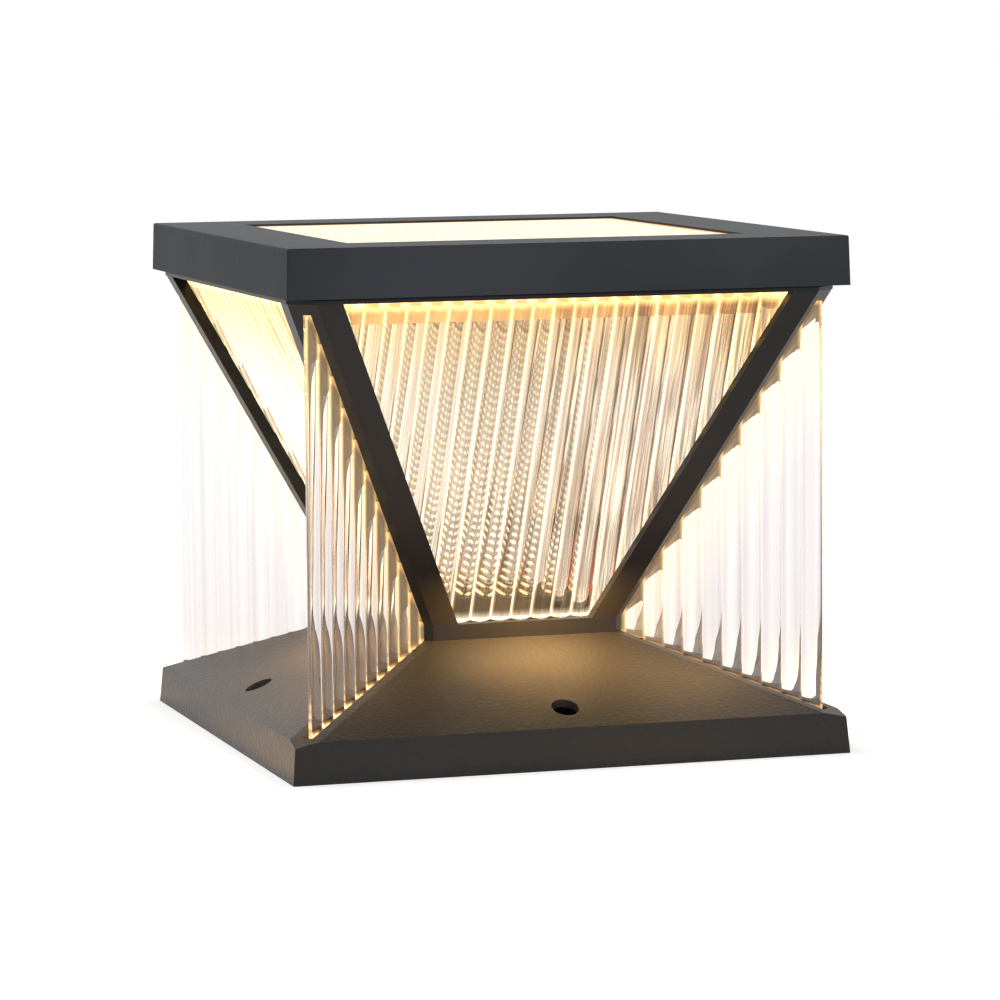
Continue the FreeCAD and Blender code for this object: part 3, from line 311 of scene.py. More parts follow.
# %% Powder coat group
CELLS_PER_GRAIN = 0.45
CLOUD_SCALE = 9.0
CLOUD_RANGE = (0.3, 0.7)
TONE_RANGE = (0.9, 1.12)


def new_group(name, kind, inputs, outputs):
    """A node group with number inputs and outputs. Returns it and both its ends."""
    made = bpy.data.node_groups.new(name, kind)
    for label, value in inputs:
        socket = made.interface.new_socket(label, in_out="INPUT", socket_type="NodeSocketFloat")
        socket.default_value = value
    for label in outputs:
        made.interface.new_socket(label, in_out="OUTPUT", socket_type="NodeSocketFloat")
    return made, made.nodes.new("NodeGroupInput").outputs, made.nodes.new("NodeGroupOutput").inputs


coat, given, result = new_group(
    "powder_coat_grain", "ShaderNodeTree", [("Grain size", 1.2 * MM), ("Leather", 0.0)], ["Height", "Tone"])
spot = object_place(coat)
per_grain = sums(coat, "DIVIDE", 1.0, given["Grain size"])
fine = add_node(coat, "ShaderNodeTexNoise", Vector=spot, Scale=per_grain, Detail=2.0, Roughness=0.6)
cells = add_node(coat, "ShaderNodeTexVoronoi", {"feature": "SMOOTH_F1"}, Vector=spot,
                 Scale=sums(coat, "MULTIPLY", per_grain, CELLS_PER_GRAIN), Smoothness=0.6)
creases = sums(coat, "MULTIPLY", cells.outputs["Distance"], given["Leather"])
clouds = add_node(coat, "ShaderNodeTexNoise", Vector=spot, Scale=CLOUD_SCALE, Detail=3.0)
feed(coat, result["Height"], sums(coat, "ADD", fine.outputs[0], creases))
feed(coat, result["Tone"], spread(coat, clouds.outputs[0], *CLOUD_RANGE, *TONE_RANGE))

# %% Coats
COAT_ROUGHNESS = 0.38
DARKER, LIGHTER = 0.82, 1.15
TONE_ENDS = (0.88, 1.14)


def powder_coat(name, colour, sheen, grain, leather, depth):
    """A cast piece's coat: tone from the group, and its grain as a bump."""
    tree, shader = new_material(name, colour, COAT_ROUGHNESS, Specular_IOR_Level=sheen)
    grains = add_node(tree, "ShaderNodeGroup", {"node_tree": coat}, Grain_size=grain, Leather=leather)
    share = spread(tree, grains.outputs["Tone"], *TONE_ENDS)
    tones = [tuple(change * value for value in colour[:3]) + (1.0,) for change in (DARKER, LIGHTER)]
    feed(tree, shader.inputs["Base Color"], blended(tree, share, *tones))
    roughen(tree, shader, grains.outputs["Height"], depth)


powder_coat("base_coat", paint(31, 32, 33), sheen=0.24, grain=0.9 * MM, leather=1.0, depth=0.20 * MM)
powder_coat("bar_coat", paint(32, 32, 33), sheen=0.22, grain=1.0 * MM, leather=0.0, depth=0.06 * MM)
powder_coat("collar_coat", paint(17, 17, 17), sheen=0.25, grain=1.0 * MM, leather=0.0, depth=0.10 * MM)
powder_coat("cap_coat", paint(62, 65, 70), sheen=0.015, grain=0.9 * MM, leather=0.5, depth=0.12 * MM)
wear("base_coat", ["base_plate"])
wear("collar_coat", ["foot_collar"])
wear("bar_coat", ["edge_bar_" + corner for corner, quarters in CORNERS])
wear("bar_coat", ["top_ring", "column_seat"])
wear("cap_coat", ["cap_frame"])
print("coats:", [m.name for m in bpy.data.materials if m.name.endswith("_coat")])

# %% [markdown]
# ## Fluted sheets
#
# The side panels and the corner fins are extruded clear sheets with round flutes.
# A shape that follows such a simple rule is a good case for Geometry Nodes: a flat
# grid gets its columns from the flutes, its rows run between two lines that bound
# the sheet, and every point is lifted by the height of the flute's arc. The same
# tree is used for both, with other bounding lines.

# %% Geometry Nodes helpers
def new_tree(name, inputs):
    """An empty Geometry Nodes tree with named float or whole-number inputs."""
    tree = bpy.data.node_groups.new(name, "GeometryNodeTree")
    for label, value in inputs:
        kind = "NodeSocketInt" if isinstance(value, int) else "NodeSocketFloat"
        socket = tree.interface.new_socket(label, in_out="INPUT", socket_type=kind)
        socket.default_value = value
    tree.interface.new_socket("Material", in_out="INPUT", socket_type="NodeSocketMaterial")
    tree.interface.new_socket("Geometry", in_out="OUTPUT", socket_type="NodeSocketGeometry")
    return tree, tree.nodes.new("NodeGroupInput").outputs, tree.nodes.new("NodeGroupOutput")


def position_parts(tree):
    """The three parts of each point's place."""
    spot = tree.nodes.new("GeometryNodeInputPosition").outputs[0]
    return add_node(tree, "ShaderNodeSeparateXYZ", Vector=spot).outputs


def moved(tree, geometry, x, y, z, **inputs):
    """The mesh with its points set to a new place."""
    spot = add_node(tree, "ShaderNodeCombineXYZ", X=x, Y=y, Z=z).outputs[0]
    return add_node(tree, "GeometryNodeSetPosition", Geometry=geometry, Position=spot, **inputs).outputs[0]


def joined(tree, *parts):
    """Several meshes as one."""
    made = tree.nodes.new("GeometryNodeJoinGeometry")
    for part in parts:
        tree.links.new(part, made.inputs[0])
    return made.outputs[0]


# %% Stored values and the end of a tree
def remember(tree, geometry, name, value):
    """Keep a value on every point, for the material to read."""
    made = add_node(tree, "GeometryNodeStoreNamedAttribute", {"data_type": "FLOAT", "domain": "POINT"},
                    Geometry=geometry, Name=name)
    feed(tree, next(socket for socket in made.inputs if socket.name == "Value"), value)
    return made.outputs[0]


MERGE_REACH = 0.01 * MM


def close_tree(tree, out, geometry, material):
    """End a tree: merge doubles, make instances real and set the material."""
    merged = add_node(tree, "GeometryNodeMergeByDistance", Geometry=geometry, Distance=MERGE_REACH)
    real = add_node(tree, "GeometryNodeRealizeInstances", Geometry=merged.outputs[0])
    dressed = add_node(tree, "GeometryNodeSetMaterial", Geometry=real.outputs[0], Material=material)
    feed(tree, out.inputs["Geometry"], dressed.outputs[0])


# %% From a tree to a plain mesh
SHARP_EDGE = 30.0


def outwards(mesh):
    """Turn every face of a closed mesh so that it points outwards."""
    work = bmesh.new()
    work.from_mesh(mesh)
    bmesh.ops.recalc_face_normals(work, faces=work.faces)
    work.to_mesh(mesh)
    work.free()


def grown(name, tree, material, values, matrix=None, sharp=SHARP_EDGE):
    """Run a tree once, and keep the result as a plain mesh placed by a matrix."""
    holder = bpy.data.objects.new(name, bpy.data.meshes.new(name))
    bpy.context.scene.collection.objects.link(holder)
    modifier = holder.modifiers.new("shape", "NODES")
    modifier.node_group = tree
    # The modifier knows its inputs by identifier, while the values go by socket name.
    for item in tree.interface.items_tree:
        if item.in_out != "INPUT":
            continue
        if item.name == "Material":
            modifier[item.identifier] = bpy.data.materials[material]
        elif item.name in values:
            modifier[item.identifier] = values[item.name]
    bpy.context.view_layer.update()
    evaluated = holder.evaluated_get(bpy.context.evaluated_depsgraph_get())
    mesh = bpy.data.meshes.new_from_object(evaluated)
    holder.modifiers.remove(modifier)
    holder.data = mesh
    mesh.name = name
    if matrix is not None:
        mesh.transform(matrix)
    outwards(mesh)
    mesh.shade_smooth()
    mesh.set_sharp_from_angle(angle=math.radians(sharp))
    return holder


# %% The flute's arc
arc, given, result = new_group(
    "flute_arc", "GeometryNodeTree", [("Across", 0.0), ("Pitch", 9.3 * MM), ("Sag", 1.6 * MM)], ["Drop"])
turns = sums(arc, "DIVIDE", given["Across"], given["Pitch"])
off_crest = sums(arc, "MULTIPLY", sums(arc, "SUBTRACT", sums(arc, "FRACT", turns), 0.5), given["Pitch"])
half_squared = sums(arc, "POWER", sums(arc, "MULTIPLY", given["Pitch"], 0.5), 2.0)
sag_squared = sums(arc, "POWER", given["Sag"], 2.0)
radius = sums(arc, "DIVIDE", sums(arc, "ADD", half_squared, sag_squared),
              sums(arc, "MULTIPLY", given["Sag"], 2.0))
above_middle = sums(arc, "SQRT", sums(arc, "SUBTRACT", sums(arc, "POWER", radius, 2.0),
                                      sums(arc, "POWER", off_crest, 2.0)))
feed(arc, result["Drop"], sums(arc, "SUBTRACT", radius, above_middle))


# %% The fluted sheet's tree
def flute_drop(tree, given, across):
    """How far the arc lies below its crest at a place across the sheet."""
    from_start = sums(tree, "SUBTRACT", across, given["Start"])
    flute = add_node(tree, "GeometryNodeGroup", {"node_tree": arc},
                     Across=from_start, Pitch=given["Pitch"], Sag=given["Sag"])
    return flute.outputs["Drop"]


def fluted_sheet(name, inputs, outline, both_faces):
    """A sheet in the XY plane with flutes along Y; outline gives each column's two ends."""
    tree, given, out = new_tree(name, [
        ("Start", 0.0), ("Flutes", 10), ("Columns", 12), ("Rows", 2), ("Pitch", 9.3 * MM),
        ("Sag", 1.6 * MM), ("Thickness", 5 * MM)] + inputs)
    columns = sums(tree, "MULTIPLY", given["Flutes"], given["Columns"])
    width = sums(tree, "MULTIPLY", given["Flutes"], given["Pitch"])
    grid = add_node(tree, "GeometryNodeMeshGrid", Size_X=width, Size_Y=1.0,
                    Vertices_X=sums(tree, "ADD", columns, 1.0), Vertices_Y=given["Rows"])
    x, y = position_parts(tree)[:2]
    across = sums(tree, "ADD", sums(tree, "ADD", x, given["Start"]), sums(tree, "MULTIPLY", width, 0.5))
    across, low, high = outline(tree, given, across)
    rise = sums(tree, "ADD", y, 0.5)
    along = sums(tree, "ADD", low, sums(tree, "MULTIPLY", rise, sums(tree, "SUBTRACT", high, low)))
    crest = sums(tree, "MULTIPLY", given["Thickness"], 0.5 if both_faces else 1.0)
    under = sums(tree, "SUBTRACT", flute_drop(tree, given, across), crest) if both_faces else 0.0
    back_face = moved(tree, grid.outputs["Mesh"], across, along, under)
    lifted = add_node(tree, "GeometryNodeExtrudeMesh", {"mode": "FACES"}, Mesh=back_face,
                      Offset_Scale=given["Thickness"], Individual=False)
    x, y = position_parts(tree)[:2]
    over = sums(tree, "SUBTRACT", crest, flute_drop(tree, given, x))
    front = moved(tree, lifted.outputs["Mesh"], x, y, over, Selection=lifted.outputs["Top"])
    kept = joined(tree, front, back_face)
    x, y = position_parts(tree)[:2]
    turns = sums(tree, "DIVIDE", sums(tree, "SUBTRACT", x, given["Start"]), given["Pitch"])
    foot, head = outline(tree, given, x)[1:]
    for label, value in (("flute_count", turns), ("flute_way", y),
                         ("above_foot", sums(tree, "SUBTRACT", y, foot)),
                         ("below_head", sums(tree, "SUBTRACT", head, y))):
        kept = remember(tree, kept, label, value)
    close_tree(tree, out, kept, given["Material"])
    return tree


# %% Panel and fin trees
def panel_outline(tree, given, across):
    """A trapezium: each column starts on a slanting side and ends at the top."""
    half = given["Top half"]
    across = sums(tree, "MAXIMUM", across, sums(tree, "MULTIPLY", half, -1.0))
    across = sums(tree, "MINIMUM", across, half)
    beyond = sums(tree, "SUBTRACT", sums(tree, "ABSOLUTE", across), given["Foot half"])
    low = sums(tree, "MAXIMUM", sums(tree, "DIVIDE", beyond, given["Side slope"]), 0.0)
    return across, low, given["Length"]


def fin_outline(tree, given, across):
    """Upright columns from the hip's slope to the lantern's corner or the fin's level top."""
    across = sums(tree, "MAXIMUM", across, given["Inner edge"])
    outward = sums(tree, "SUBTRACT", across, given["Inner edge"])
    low = sums(tree, "SUBTRACT", given["Inner foot"], sums(tree, "MULTIPLY", outward, given["Hip fall"]))
    climb = sums(tree, "DIVIDE", sums(tree, "SUBTRACT", across, given["Bar foot"]), given["Bar lean"])
    high = sums(tree, "ADD", given["Step"], sums(tree, "MAXIMUM", climb, 0.0))
    return across, low, sums(tree, "MINIMUM", high, given["Top"])


panel_tree = fluted_sheet("fluted_panel", [
    ("Foot half", 0.03), ("Top half", 0.1), ("Length", 0.16), ("Side slope", 0.43)], panel_outline, False)
fin_tree = fluted_sheet("ribbed_fin", [
    ("Inner edge", 0.06), ("Hip fall", 0.3), ("Inner foot", 0.05), ("Bar foot", 0.07),
    ("Bar lean", 0.67), ("Step", 0.054), ("Top", 0.196)], fin_outline, True)
print("trees:", [t.name for t in bpy.data.node_groups if t.bl_idname == "GeometryNodeTree"])

# %% [markdown]
# ## Sizes of the lantern
#
# The clear sheets have to fit between the bars, so their sizes come from the packed
# model's own boxes where these give them, and otherwise from the bars' section: the
# outer plane of a bar leans out by the same amount on every side.

# %% Lantern sizes
collar_low, collar_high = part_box("foot_collar")
bar_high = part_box("edge_bar_back_right")[1]
COLLAR_HALF = collar_high.x
COLLAR_TOP = collar_high.z
ROOF_TOP = collar_low.z
BAR_TOP = bar_high.z
LEAN = (bar_high.x - COLLAR_HALF) / (BAR_TOP - COLLAR_TOP)
LEAN_ANGLE = math.atan(LEAN)
BAR_ARM = 21.5 * MM
BAR_REBATE = 5 * MM
BAR_FLANGE = 6 * MM
BAR_CUT = 10 * MM
SEAT_GAP = 0.2 * MM
print("lean:", round(math.degrees(LEAN_ANGLE), 2), "degrees; bars end at", round(BAR_TOP / MM, 1), "mm")

# %% [markdown]
# ## Clear acrylic
#
# Clear plastic bends light by its refractive index, and the flutes do the rest: each
# one is a small lens, so what lies behind turns into upright streaks. The real sheets
# also show brown streaks and thin side lines, where a flute mirrors the dark parts of
# the light, and a warm glow in the valleys and on the cut ends, where lamp light is
# caught. Tracing these from the lamps alone would take very many rays, so they are
# painted in the material, from each point's place in its flute: the streaks, side lines
# and darker valley stripes as painted reflections, a warmer tint near the strips as
# painted lamp light, and the glow as painted light. The fins stand free in front of the
# backdrop, where the full index would draw their ribs harder than on the real light, so
# theirs is lower.

# %% Flute place group
def kept_value(tree, name):
    """A value that the shape's tree kept on its points."""
    return add_node(tree, "ShaderNodeAttribute", {"attribute_name": name}).outputs["Fac"]


flute_place, given, result = new_group(
    "flute_place", "ShaderNodeTree", [("Streak width", 0.15), ("Streak length", 0.05)],
    ["Across", "Valley", "Streak"])
count = kept_value(flute_place, "flute_count")
way = kept_value(flute_place, "flute_way")
share = sums(flute_place, "FRACT", count)
across = sums(flute_place, "SUBTRACT", sums(flute_place, "MULTIPLY", share, 2.0), 1.0)
streak_x = sums(flute_place, "DIVIDE", count, given["Streak width"])
streak_y = sums(flute_place, "DIVIDE", way, given["Streak length"])
spot = add_node(flute_place, "ShaderNodeCombineXYZ", X=streak_x, Y=streak_y).outputs[0]
painted_reflection_streak = add_node(flute_place, "ShaderNodeTexNoise", Vector=spot, Scale=1.0, Detail=2.0, Roughness=0.6)
feed(flute_place, result["Across"], across)
feed(flute_place, result["Valley"], sums(flute_place, "ABSOLUTE", across))
feed(flute_place, result["Streak"], painted_reflection_streak.outputs[0])

# %% Places in a flute
# Across a flute, -1 is its left valley, 0 its crest and 1 its right valley. Each line
# has two soft edges, and each of the others is a place where something starts and is full.
# The lines, stripe and border mark where the painted reflections and the painted glow lie.
SIDE_LINE = ((-0.92, -0.74), (-0.66, -0.30))
SECOND_LINE = ((0.28, 0.38), (0.44, 0.58))
SECOND_SHARE = 0.7
STRIPE = (0.35, 0.95)
BORDER = (0.70, 0.84)
VALLEY_LINE = (0.84, 0.93)
OFF_CREST = (0.45, 0.85)
STREAK_NOISE = (0.47, 0.57)


def band(tree, value, rising, falling, height=1.0):
    """A line between two soft edges of a value."""
    return sums(tree, "MULTIPLY", spread(tree, value, *rising), spread(tree, value, *falling, height, 0.0))


# %% Clear sheet materials
SHEET_ROUGHNESS = 0.02


def tint_with_painted_light(tree, flute, near_lamp, look):
    """The sheet's tint with painted light: warm near the strips, and painted reflections as stripes, side
    lines and streaks.
    """
    # Painted lamp light: the colour turns warmer towards the strips.
    clear = blended(tree, near_lamp, look["tint"], look["painted_lamp_warmth"])
    # Painted reflection: the valleys are darkened into brown stripes.
    painted_valley_reflection = sums(tree, "MULTIPLY", spread(tree, flute["Valley"], *STRIPE), look["stripe_depth"])
    clear = blended(tree, painted_valley_reflection, clear, look["painted_valley_reflection"])
    # Painted reflections of the dark parts: side lines in each flute and noisy streaks, growing from one
    # flute count to another.
    lines = sums(tree, "MAXIMUM", band(tree, flute["Across"], *SIDE_LINE),
                 band(tree, flute["Across"], *SECOND_LINE, SECOND_SHARE))
    streaks = spread(tree, flute["Streak"], *STREAK_NOISE)
    dark = sums(tree, "MAXIMUM", sums(tree, "MULTIPLY", streaks, look["streak_depth"]),
                sums(tree, "MULTIPLY", lines, look["line_depth"]))
    count = kept_value(tree, "flute_count")
    growth = spread(tree, count, look["from_flute"], look["to_flute"], look["least"])
    return blended(tree, sums(tree, "MULTIPLY", dark, growth), clear, look["painted_reflection_streak"])


def sheet_glow(tree, flute, near_lamp, look):
    """Light caught in the sheet: in its body, beside and in the valleys, and at both ends."""
    glow = blended(tree, near_lamp, look["body_glow"], look["body_high"])
    for part, place in (("border", BORDER), ("line", VALLEY_LINE)):
        caught = blended(tree, near_lamp, look[part + "_glow"], look[part + "_high"])
        glow = blended(tree, spread(tree, flute["Valley"], *place), glow, caught)
    on_crest = spread(tree, flute["Valley"], *OFF_CREST, 1.0, look["edge_in_valley"])
    for end, distance in (("head", "below_head"), ("foot", "above_foot")):
        near_end = spread(tree, kept_value(tree, distance), 0.0, look["edge_height"], 1.0, 0.0)
        glow = blended(tree, sums(tree, "MULTIPLY", near_end, on_crest), glow, look[end + "_glow"])
    return glow


def clear_plastic(name, bend, look):
    """A clear sheet's material, from its refractive index and its look."""
    tree, shader = new_material(name, look["tint"], SHEET_ROUGHNESS, IOR=bend, Transmission_Weight=1.0)
    flute = add_node(tree, "ShaderNodeGroup", {"node_tree": flute_place},
                     Streak_width=look["streak_width"], Streak_length=look["streak_length"]).outputs
    near_lamp = spread(tree, kept_value(tree, "below_head"), 0.0, look["warm_reach"], 1.0, 0.0)
    feed(tree, shader.inputs["Base Color"], tint_with_painted_light(tree, flute, near_lamp, look))
    shine(tree, shader, sheet_glow(tree, flute, near_lamp, look), 1.0)


# %% Looks of the panels and the fins
# In both looks, the streak, stripe and warm colours are painted reflections and painted lamp light, and the
# glows are painted light.
clear_plastic("clear_panel_sheet", 1.49, {
    "tint": (1.0, 0.98, 0.94, 1), "painted_lamp_warmth": (1.0, 0.88, 0.66, 1), "warm_reach": 60 * MM,
    "painted_reflection_streak": (0.20, 0.14, 0.11, 1), "streak_width": 0.20, "streak_length": 0.10,
    "streak_depth": 0.85, "line_depth": 0.75, "from_flute": 8, "to_flute": 17, "least": 0.2,
    "painted_valley_reflection": (0.80, 0.60, 0.42, 1), "stripe_depth": 0.2,
    "body_glow": (0.03, 0.025, 0.015, 1), "body_high": (0.05, 0.03, 0.01, 1),
    "line_glow": (0.84, 0.74, 0.56, 1), "line_high": (0.95, 0.70, 0.34, 1),
    "border_glow": (0.26, 0.14, 0.05, 1), "border_high": (0.40, 0.20, 0.06, 1),
    "head_glow": (1.0, 0.62, 0.22, 1), "foot_glow": (0.50, 0.40, 0.28, 1),
    "edge_height": 4.0 * MM, "edge_in_valley": 1.0,
})
clear_plastic("clear_fin_sheet", 1.25, {
    "tint": (0.965, 0.955, 0.95, 1), "painted_lamp_warmth": (1.0, 0.90, 0.72, 1), "warm_reach": 70 * MM,
    "painted_reflection_streak": (0.76, 0.70, 0.70, 1), "streak_width": 0.35, "streak_length": 2.0,
    "streak_depth": 0.6, "line_depth": 0.6, "from_flute": 0, "to_flute": 1, "least": 1.0,
    "painted_valley_reflection": (0.86, 0.82, 0.84, 1), "stripe_depth": 0.6,
    "body_glow": (0.0, 0.0, 0.0, 1), "body_high": (0.13, 0.09, 0.05, 1),
    "line_glow": (0.05, 0.04, 0.03, 1), "line_high": (0.55, 0.36, 0.15, 1),
    "border_glow": (0.02, 0.015, 0.01, 1), "border_high": (0.34, 0.22, 0.09, 1),
    "head_glow": (0.70, 0.38, 0.12, 1), "foot_glow": (1.0, 0.52, 0.16, 1),
    "edge_height": 2.4 * MM, "edge_in_valley": 0.1,
})

# %% [markdown]
# ## Side panels
#
# A panel is a trapezium of fluted sheet that leans out between two bars. Its flutes run
# up the slope, and the slanting sides cut through them, so the outer flutes are short.
# Cutting a whole fluted sheet would do as well; here the tree starts each column on the
# slanting side instead, which keeps the mesh light and its edge clean.

# %% Side panels
PANEL_THICKNESS = 5 * MM
PANEL_PITCH = 9.3 * MM
tilt_rise = PANEL_THICKNESS * math.sin(LEAN_ANGLE)
panel_length = (BAR_TOP - COLLAR_TOP - SEAT_GAP - tilt_rise) / math.cos(LEAN_ANGLE)
foot_half = COLLAR_HALF - (BAR_ARM - BAR_REBATE + SEAT_GAP)
side_slope = math.sin(LEAN_ANGLE)
top_half = foot_half + panel_length * side_slope
flutes = 2 * math.ceil(top_half / PANEL_PITCH) + 1
panel_values = {
    "Start": -flutes * PANEL_PITCH / 2, "Flutes": flutes, "Columns": 12, "Rows": 6,
    "Pitch": PANEL_PITCH, "Sag": 1.6 * MM, "Thickness": PANEL_THICKNESS, "Foot half": foot_half,
    "Top half": top_half, "Length": panel_length, "Side slope": side_slope,
}
behind_face = BAR_FLANGE + SEAT_GAP + PANEL_THICKNESS / math.cos(LEAN_ANGLE)
panel_foot = Vector((0, behind_face - COLLAR_HALF - tilt_rise * LEAN, COLLAR_TOP + tilt_rise))
leaning = Matrix.Translation(panel_foot) @ Matrix.Rotation(QUARTER + LEAN_ANGLE, 4, "X")
for side, quarters in SIDES:
    panel = grown("glass_panel_" + side, panel_tree, "clear_panel_sheet", panel_values,
                  turned(quarters) @ leaning)
    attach(panel, "root")
    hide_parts("side_panel_" + side)
    panel.visible_shadow = False
    print(panel.name, "faces:", len(panel.data.polygons))

# %% [markdown]
# ## Corner fins
#
# A fin is a sheet ribbed on both faces that stands upright over each hip of the base.
# Its foot follows the hip's fall, its inner side climbs with the bar, and its head is
# level, just under the cap. It is made like a panel, but with its arcs on both faces.

# %% Corner fins
FIN_PITCH = 9.5 * MM
FIN_GROOVE = 4 * MM
FIN_REACH = 162.9 * MM
FIN_SEAT = 2.2 * MM
HIP_CUT = 10.4 * MM
COLLAR_CUT = 10.2 * MM
COLLAR_GROOVE = 3.5 * MM
ROOF_FALL = 29.7 * MM
ROOF_RUN = (123.5 - 52.35) * MM
HIP_FALL = ROOF_FALL / ROOF_RUN / math.sqrt(2)
hip_top = (2 * COLLAR_HALF - HIP_CUT) / math.sqrt(2)
inner_edge = (2 * COLLAR_HALF - COLLAR_CUT) / math.sqrt(2) - COLLAR_GROOVE + SEAT_GAP
ribs = math.ceil((FIN_REACH - COLLAR_HALF) / FIN_PITCH)
fin_values = {
    "Start": FIN_REACH - ribs * FIN_PITCH, "Flutes": ribs, "Columns": 12, "Rows": 6,
    "Pitch": FIN_PITCH, "Sag": 1.4 * MM, "Thickness": 4.2 * MM, "Inner edge": inner_edge,
    "Hip fall": HIP_FALL, "Inner foot": ROOF_TOP - FIN_SEAT - (inner_edge - hip_top) * HIP_FALL,
    "Bar foot": (2 * COLLAR_HALF - BAR_CUT) / math.sqrt(2) - FIN_GROOVE + SEAT_GAP,
    "Bar lean": LEAN * math.sqrt(2), "Step": COLLAR_TOP, "Top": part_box("corner_fin_back_right")[1].z,
}
upright_sheet = Matrix.Rotation(QUARTER, 4, "X")
for corner, quarters in CORNERS:
    fin = grown("glass_fin_" + corner, fin_tree, "clear_fin_sheet", fin_values,
                turned(quarters, QUARTER / 2) @ upright_sheet)
    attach(fin, "root")
    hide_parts("corner_fin_" + corner)
    fin.visible_shadow = False
    print(fin.name, "faces:", len(fin.data.polygons))

# %% [markdown]
# ## Lit window
#
# The window is a pane that glows evenly from the strips below it. It is embossed with
# long waves broken up by dots, a little darker than the glow, and its rim is warmer,
# because the strips run all round it. The relief is too fine to model, so the same
# pattern gives the tone and a slight bump.

# %% Lit window
WINDOW_GLOW = 0.88
WAVE_LENGTH = 15 * MM
DOT_LENGTH = 4.5 * MM
DOT_SHARE = 0.3
WOBBLE_SCALE = 90.0
WOBBLE_TURN = 6.0
RIDGE_RANGE = (0.1, 0.9)
RIM_WIDTH, RIM_EDGE = 6 * MM, 0.5 * MM
window_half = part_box("top_diffuser")[1].x
tree, shader = new_material("lit_pane", paint(90, 82, 60), 0.35)
spot = object_place(tree)
parts = add_node(tree, "ShaderNodeSeparateXYZ", Vector=spot).outputs
wobble = add_node(tree, "ShaderNodeTexNoise", Vector=spot, Scale=WOBBLE_SCALE, Detail=1.0).outputs[0]
turns = sums(tree, "MULTIPLY", parts[1], 2 * math.pi / WAVE_LENGTH)
waves = sums(tree, "SINE", sums(tree, "ADD", turns, sums(tree, "MULTIPLY", wobble, WOBBLE_TURN)))
dots = sums(tree, "SINE", sums(tree, "MULTIPLY", parts[0], 2 * math.pi / DOT_LENGTH))
dotted = sums(tree, "ADD", sums(tree, "MULTIPLY", dots, DOT_SHARE), 1 - DOT_SHARE)
relief = sums(tree, "MULTIPLY", waves, dotted)
rim = spread(tree, furthest_way(tree), window_half - RIM_WIDTH, window_half - RIM_EDGE)
body = blended(tree, spread(tree, relief, *RIDGE_RANGE), paint(255, 248, 212), paint(236, 206, 138))
shine(tree, shader, blended(tree, rim, body, paint(240, 176, 92)), WINDOW_GLOW)
roughen(tree, shader, relief, 0.1 * MM)
wear("lit_pane", ["top_diffuser"])

# %% [markdown]
# ## Lights, boards and reflectors
#
# The lights are small warm squares on white boards. The reflectors behind the tops of
# the panels show as a peach-brown band. Both catch so much light at such short range
# that a low glow of their own stands in for many bounces.

# %% Lights, boards and reflectors
LIGHT_GLOW = 4.0
REFLECTOR_GLOW = 0.42
BOARD_GLOW = 0.8
FLECK_RANGE = (0.35, 0.65)


def flecked(name, light, dark, grain, roughness, **values):
    """A plain finish with faint clouds of tone, and a fine bump of the same noise."""
    tree, shader = new_material(name, light, roughness, **values)
    noise = add_node(tree, "ShaderNodeTexNoise", Vector=object_place(tree), Scale=grain, Detail=3.0)
    share = spread(tree, noise.outputs[0], *FLECK_RANGE)
    feed(tree, shader.inputs["Base Color"], blended(tree, share, dark, light))
    roughen(tree, shader, noise.outputs[0], 0.05 * MM)
    return tree, shader


tree, shader = new_material("warm_light", paint(255, 236, 190), 0.4)
shine(tree, shader, paint(255, 214, 140), LIGHT_GLOW)
wear("warm_light", ["strip_leds", "foot_leds"])
tree, shader = flecked("reflector_white", paint(236, 222, 200), paint(220, 200, 172), 120.0, 0.4)
shine(tree, shader, paint(206, 140, 78), REFLECTOR_GLOW)
wear("reflector_white", ["reflector_" + side for side, quarters in SIDES])
tree, shader = flecked("board_white", paint(240, 238, 230), paint(224, 220, 210), 200.0, 0.45)
shine(tree, shader, paint(255, 200, 120), BOARD_GLOW)
wear("board_white", ["led_strip_" + side for side, quarters in SIDES] + ["foot_led_board"])

# %% [markdown]
# ## Inner and hidden pieces
#
# Screws, seals, the wiring and the pieces under the base are hidden in most views,
# but each still gets its own finish: bare metal, soft rubber or moulded plastic. They
# differ only in tone, grain and gloss, so one table of them is enough.

# %% Metal, rubber and plastic
HIDDEN_FINISHES = (
    # name, light tone, dark tone, grain, roughness, metallic, nodes
    ("bright_steel", (176, 176, 178), (146, 146, 150), 400.0, 0.3, 1.0,
     ["bar_screws", "cap_screws", "cover_screws", "driver_screws", "foot_plate"]),
    ("zinc_sheet", (150, 152, 155), (118, 120, 124), 60.0, 0.4, 1.0, ["bottom_cover"]),
    ("soft_rubber", (30, 30, 30), (22, 22, 22), 300.0, 0.75, 0.0,
     ["top_gasket", "cover_gasket", "diffuser_seal", "gland_seal"]),
    ("white_moulding", (226, 226, 222), (208, 208, 204), 90.0, 0.45, 0.0, ["led_driver"]),
    ("cream_moulding", (222, 214, 190), (204, 196, 172), 90.0, 0.5, 0.0, ["terminal_block"]),
    ("black_moulding", (34, 34, 36), (24, 24, 26), 140.0, 0.5, 0.0,
     ["gland_body", "gland_cap", "gland_nut"]),
    ("lead_red", (150, 40, 34), (120, 30, 26), 220.0, 0.5, 0.0, ["lamp_leads", "link_leads"]),
)
for name, light, dark, grain, roughness, metallic, wearers in HIDDEN_FINISHES:
    flecked(name, paint(*light), paint(*dark), grain, roughness, Metallic=metallic)
    wear(name, wearers)
print("hidden finishes:", [finish[0] for finish in HIDDEN_FINISHES])
